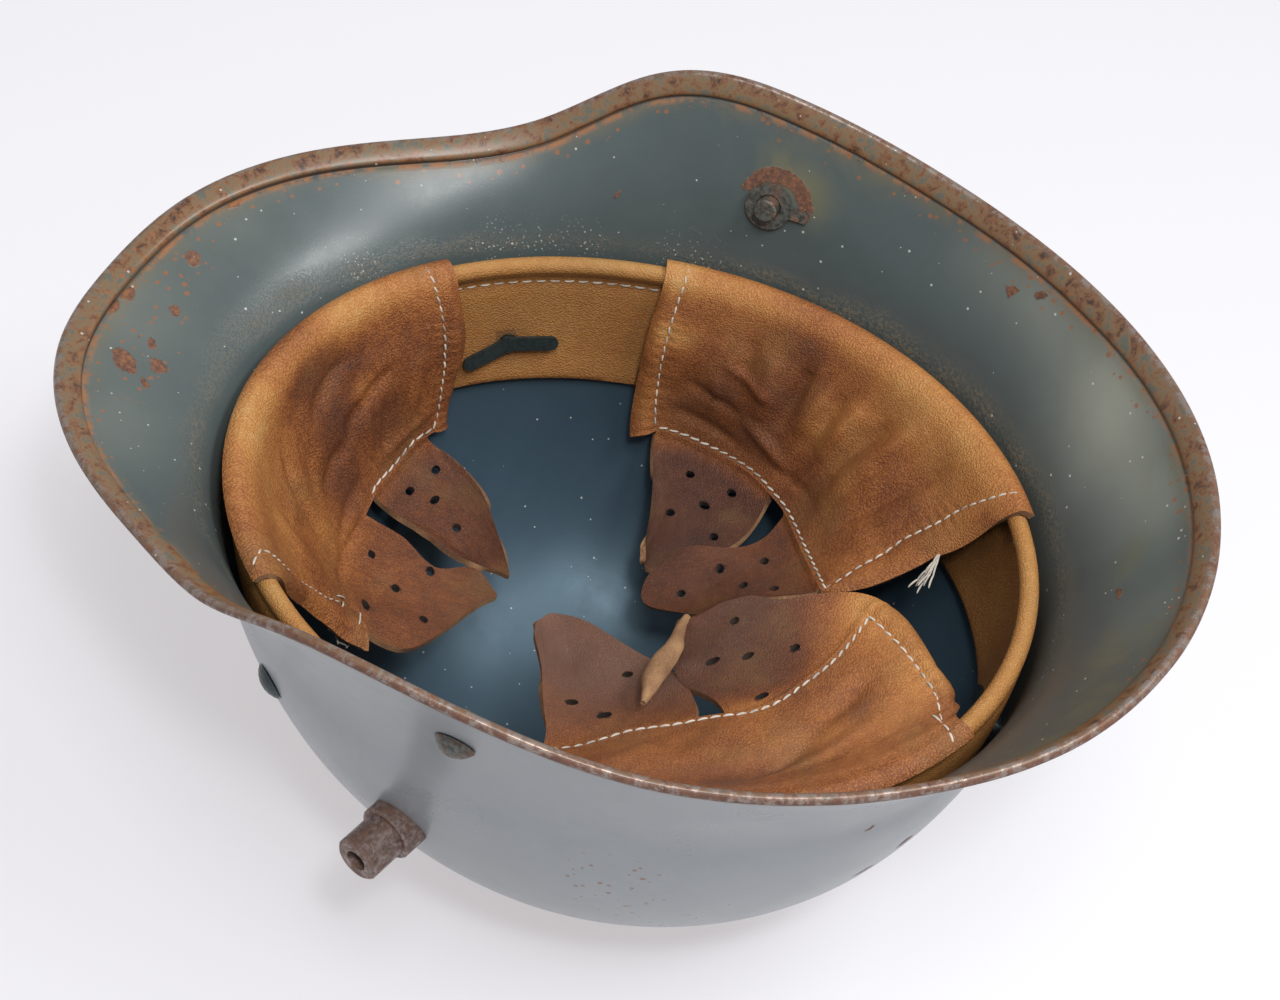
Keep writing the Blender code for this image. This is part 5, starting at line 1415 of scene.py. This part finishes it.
def pad_mesh(key):
    """A pad as one sheet: the lip over the roll, the body and two tongues with air holes."""
    look = PAD_LOOKS[key]
    face = PadFace(key)
    scale = look["scale"]
    tongues = look["tongues"]
    roots = [0.0, tongues[0]["low"][0], tongues[0]["high"][0], tongues[1]["low"][0], tongues[1]["high"][0],
             1.0]
    ends = np.concatenate([[0], np.cumsum(PAD_COLUMNS)])
    columns = ends[-1]
    across = np.interp(np.arange(columns + 1), ends, roots)
    rows = LIP_ROWS + BODY_ROWS + TONGUE_ROWS
    obj, i, j = grid("leather_pad_" + key, columns, rows)
    u = across[i]
    v = np.zeros(len(u))
    zone = np.zeros(len(u), int)
    lip = j < LIP_ROWS
    body = (j >= LIP_ROWS) & (j <= LIP_ROWS + BODY_ROWS)
    seam = seam_line(key, u)
    v[body] = (seam * (j - LIP_ROWS) / BODY_ROWS)[body]
    low, high = pad_edges(key, v)
    u = np.where(i < ends[1], low + (roots[1] - low) * i / ends[1], u)
    u = np.where(i > ends[4], roots[4] + (high - roots[4]) * (i - ends[4]) / PAD_COLUMNS[4], u)
    s = np.clip((j - LIP_ROWS - BODY_ROWS) / TONGUE_ROWS, 0, 1)
    s = 1 - (1 - s) ** 1.5
    for k, tongue in enumerate(tongues):
        first, last = ends[1 + 2 * k], ends[2 + 2 * k]
        here = (j > LIP_ROWS + BODY_ROWS) & (i >= first) & (i <= last)
        share = (i[here] - first) / (last - first)
        low = smooth_row(np.array(tongue["low"])[:, None] * [1, 0, 0], s[here] * 4)[:, 0]
        high = smooth_row(np.array(tongue["high"])[:, None] * [1, 0, 0], s[here] * 4)[:, 0]
        middle, half = (low + high) / 2, (high - low) / 2
        half = half * np.sqrt(np.maximum(1 - s[here] ** tongue["blunt"], 0.0))
        u[here] = middle + half * (2 * share - 1)
        v[here] = seam[here] + (tongue["tip"] - seam[here]) * s[here]
        zone[here] = k + 1
    position = np.zeros((len(u), 3))
    angle = LIP_ANGLES[0] + (LIP_ANGLES[1] - LIP_ANGLES[0]) * j / LIP_ROWS
    position[lip] = round_roll(face.azimuth(u[lip]), LIP_RADIUS, angle[lip])
    rest = ~lip
    position[rest] = face.at(u[rest], v[rest])
    normal = np.zeros_like(position)
    normal[rest] = face.normal(u[rest], v[rest])
    relief = np.zeros(len(u))
    relief[rest] = pad_relief(key, face, u[rest], v[rest], zone[rest])
    for k, tongue in enumerate(tongues):
        for lift in tongue["lifts"]:
            relief += (zone == k + 1) * pad_spot(u, v, scale, lift)
    position += normal * (relief * MM)[:, None]
    net = np.full((columns + 1, rows + 1, 3), np.nan)
    net[i, j] = position
    first, last = SMOOTHED_ROWS
    for _ in range(SMOOTHING_ROUNDS):
        beside = net[:, first - 1:last - 1] + net[:, first + 1:last + 1]
        net[:, first:last] = 0.5 * net[:, first:last] + 0.25 * beside
    position = net[i, j]
    shape(obj, position)
    for name, values in zip(("tone", "soil", "fade"), pad_colours(key, u, v, zone, lip, j)):
        paint(obj, name, values)
    lay_uv(obj, u * scale[0] * MM, np.where(lip, (j - LIP_ROWS) * LIP_ROW_HEIGHT, v * scale[1]) * MM)
    drop_beyond(obj, i, j, ends)
    holes = []
    for k, tongue in enumerate(tongues):
        mine = np.where(zone == k + 1)[0]
        for n, (hu, hv) in enumerate(tongue["holes"]):
            at = mine[np.argmin(((u[mine] - hu) * scale[0]) ** 2 + ((v[mine] - hv) * scale[1]) ** 2)]
            beside = face.at(np.array([hu + 0.01]), np.array([hv]))[0]
            side = Vector(beside - face.at(np.array([hu]), np.array([hv]))[0])
            z = Vector(normal[at])
            turn = axes((side - z * side.dot(z)).normalized(), z, position[at])
            longer = Matrix.Diagonal((1.25 + 0.25 * (n % 3), 1.0, 1.0, 1.0))
            holes.append((turn @ longer, AIR_HOLE, *AIR_CUT))
    return obj, holes


def lifted(face, places):
    """Points over a pad's face from rows of u, v and height in mm."""
    u, v = places[:, 0], places[:, 1]
    return face.at(u, v) + face.normal(u, v) * places[:, 2:3] * MM


def add_curl(obj, key):
    """Add the curled corner of a tongue: its flesh side shows, and it joins the tongue's edge."""
    face = PadFace(key)
    table = np.array(PAD_LOOKS[key]["curl"])
    curl, i, j = grid("curled_corner", CURL_COLUMNS, CURL_ROWS)
    along = i / CURL_COLUMNS * (len(table) - 1)
    at = smooth_row(table, along)
    ahead = smooth_row(table, along + 0.05)
    centre = lifted(face, at)
    onward = lifted(face, ahead) - centre
    onward /= np.linalg.norm(onward, axis=1)[:, None]
    up = face.normal(at[:, 0], at[:, 1])
    up -= onward * (up * onward).sum(1)[:, None]
    up /= np.linalg.norm(up, axis=1)[:, None]
    side = np.cross(onward, up)
    lower = face.at(at[:, 0] - 0.05, at[:, 1]) - face.at(at[:, 0], at[:, 1])
    side *= np.sign((side * lower).sum(1))[:, None]
    angle = np.radians(CURL_START + CURL_TURN * j / CURL_ROWS)
    swing = 1 + 0.05 * ripple(centre, 0.006, 81)
    outward = side * np.sin(angle)[:, None] - up * np.cos(angle)[:, None]
    shape(curl, centre + outward * (at[:, 3] * swing * MM)[:, None])
    only(curl)
    middle = curl.data.polygons[len(curl.data.polygons) // 2]
    k = middle.vertices[0]
    if middle.normal.dot(Vector(points_of(curl)[k] - centre[k])) < 0:
        turn_over(curl)
    for material in obj.data.materials:
        curl.data.materials.append(material)
    for polygon in curl.data.polygons:
        polygon.material_index = 1
    apply(curl, 'SOLIDIFY', thickness=CURL_SHEET, offset=-1.0, material_offset=-1, material_offset_rim=1)
    for name, value in (("tone", 0.40), ("soil", 0.1), ("fade", 0.5)):
        paint(curl, name, np.full(len(curl.data.vertices), value))
    only(obj)
    curl.select_set(True)
    bpy.ops.object.join()


def pad_colours(key, u, v, zone, lip, j):
    """Gold tone, dark soil and greying for each point of a pad."""
    look = PAD_LOOKS[key]
    tone = np.full(len(u), look["tone"])
    soil = np.zeros(len(u))
    for table, total in ((look["tones"], tone), (look["soils"], soil)):
        for spot in table:
            total += pad_spot(u, v, look["scale"], spot)
    tone += look["root_tone"] * bell(v, 0, 0.16)
    for k, value in enumerate(look["tongue_tones"]):
        mine = zone == k + 1
        share = np.clip((v - 2.0) / 0.25, 0, 1)
        tone = np.where(mine, tone + (value - look["tone"]) * share, tone)
    fade = np.zeros(len(u))
    for k, amount in enumerate(look["greys"]):
        fade = np.where(zone == k + 1, amount * np.clip((v - 2.1) / 1.0, 0, 1), fade)
    tone[lip] = tone[lip] - 0.10 * (1 - j[lip] / LIP_ROWS)
    return tone, soil, fade


def drop_beyond(obj, i, j, ends):
    """Delete the grid's faces beside and between the tongues."""
    only(obj)
    mesh = obj.data
    flags = np.zeros(len(mesh.polygons), bool)
    for n, polygon in enumerate(mesh.polygons):
        corners = list(polygon.vertices)
        row = min(j[c] for c in corners)
        column = min(i[c] for c in corners)
        on_tongue = ends[1] <= column < ends[2] or ends[3] <= column < ends[4]
        flags[n] = row >= LIP_ROWS + BODY_ROWS and not on_tongue
    mesh.polygons.foreach_set("select", flags)
    bpy.ops.object.mode_set(mode='EDIT')
    bpy.context.tool_settings.mesh_select_mode = (False, False, True)
    bpy.ops.object.mode_set(mode='OBJECT')
    mesh.polygons.foreach_set("select", flags)
    bpy.ops.object.mode_set(mode='EDIT')
    bpy.ops.mesh.delete(type='FACE')
    bpy.ops.mesh.select_all(action='SELECT')
    bpy.ops.mesh.remove_doubles(threshold=2e-5)
    bpy.ops.object.mode_set(mode='OBJECT')


def face_up(obj, face):
    """Make the pad's grain side the side that the wearer's head touches."""
    in_edit_mode(obj, FACES_AGREE)
    u, v = np.array([0.5]), np.array([1.0])
    middle = Vector(face.at(u, v)[0])
    nearest = min(obj.data.polygons, key=lambda p: (Vector(p.center) - middle).length)
    if nearest.normal.dot(Vector(face.normal(u, v)[0])) < 0:
        turn_over(obj)


class HELMET_OT_pads(bpy.types.Operator):
    """Model the three leather pads with their tongues"""
    bl_idname = "helmet.build_pads"
    bl_label = "Leather pads"

    def execute(self, context):
        look = context.scene.helmet_leather
        # The air holes' walls are nearly black, far darker than the other cut edges: painted shade inside
        # the holes
        flesh, hole_shade, cut = (material_named(name, suede_material, pale, deep) for name, pale, deep in (
            ("leather_flesh_side", (0.36, 0.20, 0.095), (0.20, 0.10, 0.045)),
            ("leather_hole", (0.035, 0.020, 0.013), (0.012, 0.007, 0.005)),
            ("leather_cut_edge", (0.34, 0.18, 0.085), (0.15, 0.075, 0.038))))
        for key in PAD_NETS:
            obj, holes = pad_mesh(key)
            face_up(obj, PadFace(key))
            for _ in range(4):
                obj.data.materials.append(cut)
            apply(obj, 'SOLIDIFY', thickness=LEATHER, offset=-1.0, material_offset=1, material_offset_rim=2)
            # Slot 3 gives the holes' walls their nearly black painted shade
            cut_holes(obj, holes, 3)
            grain = material_named("leather_" + key, leather_material, look, *PAD_LOOKS[key]["grain"])
            finish_with(obj, [grain, flesh, cut, hole_shade], key + "_flap", "pad_" + key, "pad_" + key)
            if "curl" in PAD_LOOKS[key]:
                add_curl(obj, key)
            bevel = obj.modifiers.new("edge", 'BEVEL')
            bevel.width = 0.3 * MM
            bevel.segments = 2
            bevel.limit_method = 'ANGLE'
            bevel.angle_limit = math.radians(50)
            smooth(obj, 60)
        return {'FINISHED'}


def one_stitch():
    """The points and faces of one stitch, a short thread with both ends sunk in."""
    bpy.ops.object.select_all(action='DESELECT')
    bpy.ops.mesh.primitive_uv_sphere_add(segments=8, ring_count=8, radius=1.0)
    obj = bpy.context.object
    in_edit_mode(obj, FACES_AGREE)
    at = points_of(obj)[:, [2, 0, 1]]
    faces = sorted(tuple(p.vertices) for p in obj.data.polygons)
    bpy.data.objects.remove(obj)
    full = np.abs(at[:, 0])
    widen = np.where(full < 0.99, 1 / np.maximum(np.sqrt(np.maximum(1 - full ** 2, 1e-4)), 1e-2), 1.0)
    body = (1 - full ** 4) ** 0.5
    at[:, 1:] *= (widen * body)[:, None]
    at[:, 2] -= 1.3 * full ** 2.5
    return at, faces


def stitches(name, runs, look):
    """Lay stitches along runs: each is points, normals, length share, slant and swell."""
    unit, faces = one_stitch()
    points, polygons = [], []
    for places, normals, share, slant, swell in runs:
        steps = np.linalg.norm(np.diff(places, axis=0), axis=1)
        along = np.concatenate([[0], np.cumsum(steps)])
        count = max(int(along[-1] / look.stitch_step / (1.25 if swell < 0 else 1.0)), 1)
        rng = np.random.RandomState(len(places) + count)
        for k in range(count):
            middle = (k + 0.5) / count * along[-1]
            half = along[-1] / count * share / 2
            ends = [np.array([np.interp(middle + d, along, places[:, c]) for c in range(3)])
                    for d in (-half, half)]
            up = np.array([np.interp(middle, along, normals[:, c]) for c in range(3)])
            up /= np.linalg.norm(up)
            x = (ends[1] - ends[0]) / 2
            size = np.linalg.norm(x)
            x /= size
            y = np.cross(up, x)
            turn = math.radians(slant + rng.uniform(-5, 5))
            x, y = x * math.cos(turn) + y * math.sin(turn), y * math.cos(turn) - x * math.sin(turn)
            z = np.cross(x, y)
            radius = look.thread_radius * abs(swell) * rng.uniform(0.9, 1.1)
            at = (ends[0] + ends[1]) / 2 + z * radius * 0.45
            local = unit * [size, radius, radius]
            offset = sum(len(p) for p in points)
            points.append(at + local @ np.stack([x, y, z]))
            polygons += [tuple(c + offset for c in f) for f in faces]
    mesh = bpy.data.meshes.new(name)
    mesh.from_pydata(np.concatenate(points).tolist(), [], polygons)
    obj = bpy.data.objects.new(name, mesh)
    bpy.context.scene.collection.objects.link(obj)
    tidy(obj, threshold=1e-7)
    smooth(obj)
    return obj


def surface_under(obj, places, normals):
    """Move places along their normals onto a piece's outer surface."""
    mesh = obj.data
    tree = BVHTree.FromPolygons([v.co for v in mesh.vertices], [p.vertices for p in mesh.polygons])
    made = []
    for p, n in zip(places, normals):
        hit = tree.ray_cast(Vector(p) + Vector(n) * 9 * MM, -Vector(n), 18 * MM)
        made.append(np.array(hit[0]) if hit[0] is not None else p)
    return np.array(made)


# Kinds of stitches: share of the step that the thread fills, slant in degrees, and swell,
# which is negative for the longer steps of the band
HEM_STITCH = (0.86, 6, 0.95)
SEAM_STITCH = (0.98, 12, 1.05)
LOOSE_THREAD = (1.25, 0, 0.8)
BAND_STITCH = (0.80, 3, -0.9)


class HELMET_OT_stitching(bpy.types.Operator):
    """Sew the hems and seams of the pads and the edge of the band"""
    bl_idname = "helmet.build_stitching"
    bl_label = "Stitching"

    def execute(self, context):
        look = context.scene.helmet_leather
        thread = material_named("linen_thread", thread_material, look)
        for key in PAD_NETS:
            face = PadFace(key)
            pad = bpy.data.objects["leather_pad_" + key]
            bends = PAD_LOOKS[key]
            runs = []
            for hem in bends["hems"]:
                hem = np.array(hem)
                t = np.linspace(0, 1, 60)
                v = hem[0, 1] + (hem[-1, 1] - hem[0, 1]) * t
                u = np.interp(v, hem[:, 1], hem[:, 0])
                over = v < 0
                places = face.at(u, np.maximum(v, 0))
                normals = face.normal(u, np.maximum(v, 0))
                angle = LIP_ANGLES[1] + HEM_TURN * v / HEM_REACH
                lip = round_roll(face.azimuth(u), LIP_RADIUS, angle)
                middle = round_roll(face.azimuth(u), 0.0, angle)
                places[over] = lip[over]
                normals[over] = ((lip - middle) / LIP_RADIUS)[over]
                runs.append((surface_under(pad, places, normals), normals, *HEM_STITCH))
            first, last = bends["stitched"]
            u = np.linspace(first, last, 120)
            v = seam_line(key, u) - 0.055
            places, normals = face.at(u, v), face.normal(u, v)
            runs.append((surface_under(pad, places, normals), normals, *SEAM_STITCH))
            for line in bends.get("loose", ()):
                u, v, off = smooth_row(np.array(line), np.linspace(0, len(line) - 1, 24)).T
                normals = face.normal(u, v)
                places = surface_under(pad, face.at(u, v), normals) if off[0] >= 0 else face.at(u, v)
                runs.append((places + normals * off[:, None] * MM, normals, *LOOSE_THREAD))
            obj = stitches("stitching_" + key, runs, look)
            finish_with(obj, [thread], key + "_flap", "pad_" + key)
        runs = []
        height = BAND_SEAM_HEIGHT * MM
        for first, last in BAND_SEAMS:
            a = np.linspace(first, last, 80)
            places = place(a, *bowl_point(a, height, band_depth(height) + BAND_SEAM_DEPTH * MM))
            normals = place(a, -1.0, 0.0) - place(a, 0.0, 0.0)
            runs.append((places, normals, *BAND_STITCH))
        obj = stitches("stitching_band", runs, look)
        finish_with(obj, [thread], "shell_and_band", "headband")
        return {'FINISHED'}


class HELMET_PG_cloth(bpy.types.PropertyGroup):
    """Cloth behind the pads"""
    pocket_colour: FloatVectorProperty(name="Pocket cloth", description="Undyed linen", subtype='COLOR',
                                       size=3, default=(0.56, 0.50, 0.38), min=0, max=1)
    cushion_colour: FloatVectorProperty(name="Cushion cloth", description="Cotton bag round the horsehair",
                                        subtype='COLOR', size=3, default=(0.60, 0.56, 0.46), min=0, max=1)
    pocket_cloth: FloatProperty(name="Pocket thickness", description="Thickness of the pocket's cloth",
                                default=0.8 * MM, unit='LENGTH', subtype='DISTANCE')
    cushion_thickness: FloatProperty(name="Cushion thickness",
                                     description="Thickness of a cushion's middle", default=3.4 * MM,
                                     unit='LENGTH', subtype='DISTANCE')


def behind(face, u, v, depth):
    """Points at a depth behind a pad's face."""
    return face.at(u, v) - face.normal(u, v) * depth[:, None]


# Where a pocket lies behind its pad, as start and width in u and in shares of the seam's v,
# and the two cushions' spans of u
POCKET_U = (0.09, 0.82)
POCKET_V = (0.42, 0.50)
CUSHION_SPANS = ((0.13, 0.485), (0.515, 0.87))


class HELMET_OT_pockets(bpy.types.Operator):
    """Model the cloth pockets and the horsehair cushions behind the pads"""
    bl_idname = "helmet.build_pockets"
    bl_label = "Pockets and cushions"

    def execute(self, context):
        look = context.scene.helmet_cloth
        linen = material_named("pocket_linen", cloth_material, look.pocket_colour, 0.55, 900.0)
        cotton = material_named("cushion_cotton", cloth_material, look.cushion_colour, 0.6, 1300.0)
        for key in PAD_NETS:
            face = PadFace(key)
            columns, rows = 96, 56
            obj, i, j = grid("linen_pocket_" + key, columns, rows)
            a, b = i / columns, j / rows
            u, v = POCKET_U[0] + POCKET_U[1] * a, (POCKET_V[0] + POCKET_V[1] * b) * PAD_SEAM
            near = LEATHER + BAND_WALL_GAP
            full = (1 - np.abs(2 * a - 1) ** 4) * (1 - np.abs(2 * b - 1) ** 4)
            follow = near - MM * pad_relief(key, face, u, v, np.zeros(len(u)))
            depth = follow + (look.cushion_thickness + 0.9 * MM) * full
            at = behind(face, u, v, depth)
            depth = depth + 0.18 * MM * ripple(at, 0.014, 61) * full
            shape(obj, behind(face, u, v, depth))
            at = points_of(obj)
            wide = float(np.linalg.norm(np.diff(at[j == rows // 2], axis=0), axis=1).sum())
            tall = float(np.linalg.norm(np.diff(at[i == columns // 2], axis=0), axis=1).sum())
            lay_uv(obj, i * (wide / columns), j * (tall / rows))
            face_up(obj, face)
            apply(obj, 'SOLIDIFY', thickness=look.pocket_cloth, offset=-1.0)
            smooth(obj, 60)
            finish_with(obj, [linen], key + "_flap", "pockets", "pocket_" + key)
            for letter, (u0, u1) in zip("ab", CUSHION_SPANS):
                cushion = self.cushion(look, face, key, letter, u0, u1)
                smooth(cushion, 70)
                finish_with(cushion, [cotton], key + "_flap", "cushions", "cushion_%s_%s" % (key, letter))
        return {'FINISHED'}

    def cushion(self, look, face, key, letter, u0, u1):
        """A crowned closed bag, tufted in the middle, flat on the leather."""
        columns, rows = 44, 34
        obj, i, j = grid("horsehair_%s_%s" % (key, letter), columns, rows * 2)
        a = i / columns
        b = np.where(j <= rows, j / rows, (2 * rows - j) / rows)
        back = j > rows
        u = u0 + (u1 - u0) * (0.5 + (a - 0.5) * (1 + 0.03 * np.cos(2 * np.pi * b)))
        v = (0.47 + 0.41 * (0.5 + (b - 0.5) * (1 + 0.03 * np.cos(2 * np.pi * a)))) * PAD_SEAM
        full = (1 - np.abs(2 * a - 1) ** 2.6) * (1 - np.abs(2 * b - 1) ** 2.6)
        near = LEATHER + BAND_WALL_GAP + 0.3 * MM - MM * pad_relief(key, face, u, v, np.zeros(len(u)))
        tuft = np.exp(-(((a - 0.5) * 7) ** 2 + ((b - 0.5) * 6) ** 2))
        depth = near + np.where(back, look.cushion_thickness * full * (1 - 0.35 * tuft),
                                0.12 * MM * (1 - full))
        at = behind(face, u, v, depth)
        depth = depth + np.where(back, 0.12 * MM * ripple(at, 0.010, 71) * full, 0.0)
        shape(obj, behind(face, u, v, depth))
        lay_uv(obj, i * (0.045 / columns), j * (0.030 / rows))
        tidy(obj, threshold=2e-5)
        return obj


class HELMET_PG_stage(bpy.types.PropertyGroup):
    """Floor, lamps and camera"""
    floor_colour: FloatVectorProperty(name="Floor", description="Pale floor", subtype='COLOR', size=3,
                                      default=(0.415, 0.43, 0.455), min=0, max=1)
    floor_glow: FloatVectorProperty(name="Floor glow", description="What the camera adds to the floor",
                                    subtype='COLOR', size=3, default=(0.475, 0.445, 0.450), min=0, max=1)
    softbox_power: FloatProperty(name="Softbox", description="Power of the softbox", default=6.0,
                                 unit='POWER')
    overhead_power: FloatProperty(name="Overhead", description="Power of the long lamp behind the helmet",
                                  default=8.0, unit='POWER')
    flash_power: FloatProperty(name="Flash", description="Power of the small lamp near the camera",
                               default=2.4, unit='POWER')
    sky_strength: FloatProperty(name="Sky", description="Strength of the even light", default=0.45)


class HELMET_OT_stage(bpy.types.Operator):
    """Set up the floor, the lamps and the camera"""
    bl_idname = "helmet.build_stage"
    bl_label = "Stage"

    def execute(self, context):
        look = context.scene.helmet_stage
        bpy.ops.object.select_all(action='DESELECT')
        bpy.ops.mesh.primitive_plane_add(size=40.0, location=(0, 0, 0))
        floor = context.object
        floor.name = "floor"
        floor.data.transform(Matrix.Translation((0, 0, -0.2 * MM)))
        floor.data.materials.append(self.floor_material(look))
        self.camera(context)
        self.lamp(context, "softbox", look.softbox_power)
        self.lamp(context, "flash", look.flash_power)
        self.lamp(context, "overhead", look.overhead_power)
        self.world(context, look)
        settings = context.scene.view_settings
        settings.view_transform = 'Standard'
        return {'FINISHED'}

    def floor_material(self, look):
        """Pale for the camera, with the helmet's shadow kept on it."""
        material, g, shader = new_material("floor_paper", roughness=0.9)
        nodes = material.node_tree.nodes
        nodes.remove(shader)
        colour = g.mix(g.times(g.noise(g.place(), 30.0, 3.0), 0.06), look.floor_colour, FLOOR_GREY)
        plain = g.add("ShaderNodeBsdfDiffuse", {"Color": colour}).outputs[0]
        glow = g.add("ShaderNodeEmission", {"Color": look.floor_glow, "Strength": 1.0}).outputs[0]
        none = g.add("ShaderNodeEmission", {"Strength": 0.0}).outputs[0]
        shown = g.for_camera(none, glow, "Is Glossy Ray")
        both = g.add("ShaderNodeAddShader", {0: plain, 1: shown}).outputs[0]
        g.feed(nodes["Material Output"].inputs["Surface"], both)
        return material

    def camera(self, context):
        """Set up the photograph's camera."""
        turn, rise, roll = (math.radians(d) for d in CAMERA_ANGLES)
        level = math.cos(rise)
        back = Vector((math.sin(turn) * level, -math.cos(turn) * level, math.sin(rise)))
        right = (-back).cross(Vector((0, 0, 1))).normalized()
        up = right.cross(-back)
        across = right * math.cos(roll) + up * math.sin(roll)
        over = up * math.cos(roll) - right * math.sin(roll)
        data = bpy.data.cameras.new("camera")
        data.sensor_width = CAMERA_SENSOR
        data.lens = CAMERA_LENS
        data.clip_start = 0.01
        camera = bpy.data.objects.new("camera", data)
        context.scene.collection.objects.link(camera)
        camera.matrix_world = (Matrix.Translation(CAMERA_PLACE)
                               @ Matrix((across, over, back)).transposed().to_4x4())
        context.scene.camera = camera

    def lamp(self, context, name, power):
        at, across, deep = LAMPS[name]
        data = bpy.data.lights.new(name, 'AREA')
        data.shape = 'ELLIPSE'
        data.size = across
        data.size_y = deep
        data.energy = power
        lamp = bpy.data.objects.new(name, data)
        context.scene.collection.objects.link(lamp)
        lamp.location = at
        lamp.rotation_euler = (Vector(LAMP_AIM) - Vector(at)).to_track_quat('-Z', 'Y').to_euler()

    def world(self, context, look):
        """An even pale light, and white where the camera sees past the floor."""
        world = bpy.data.worlds.new("studio")
        context.scene.world = world
        world.use_nodes = True
        g = Graph(world.node_tree)
        nodes = world.node_tree.nodes
        g.feed(nodes["Background"].inputs["Color"], SKY)
        g.feed(nodes["Background"].inputs["Strength"], look.sky_strength)
        white = g.add("ShaderNodeBackground", {"Color": WHITE, "Strength": 1.0}).outputs[0]
        shown = g.for_camera(nodes["Background"].outputs[0], white, "Is Transmission Ray")
        g.feed(nodes["World Output"].inputs["Surface"], shown)


STEPS = (HELMET_OT_stage, HELMET_OT_shell, HELMET_OT_fittings, HELMET_OT_band, HELMET_OT_pads,
         HELMET_OT_stitching, HELMET_OT_pockets)
GROUPS = {"helmet_stage": HELMET_PG_stage, "helmet_shell": HELMET_PG_shell,
          "helmet_fittings": HELMET_PG_fittings,
          "helmet_leather": HELMET_PG_leather, "helmet_cloth": HELMET_PG_cloth}


class HELMET_PT_panel(bpy.types.Panel):
    """Sizes, colours and steps of the helmet"""
    bl_idname = "HELMET_PT_panel"
    bl_label = "Helmet"
    bl_space_type = 'VIEW_3D'
    bl_region_type = 'UI'
    bl_category = "Helmet"

    def draw(self, context):
        for name in GROUPS:
            box = self.layout.box()
            group = getattr(context.scene, name)
            for key in group.__annotations__:
                box.prop(group, key)
        for step in STEPS:
            self.layout.operator(step.bl_idname)


def register():
    for kind in (*GROUPS.values(), *STEPS, HELMET_PT_panel):
        bpy.utils.register_class(kind)
    for name, kind in GROUPS.items():
        setattr(bpy.types.Scene, name, PointerProperty(type=kind))


def unregister():
    for name in GROUPS:
        delattr(bpy.types.Scene, name)
    for kind in reversed((*GROUPS.values(), *STEPS, HELMET_PT_panel)):
        bpy.utils.unregister_class(kind)


def main():
    register()
    bpy.ops.helmet.build_stage()
    bpy.ops.helmet.build_shell()
    bpy.ops.helmet.build_fittings()
    bpy.ops.helmet.build_band()
    bpy.ops.helmet.build_pads()
    bpy.ops.helmet.build_stitching()
    bpy.ops.helmet.build_pockets()
    bpy.context.view_layer.update()


if __name__ == "__main__":
    main()
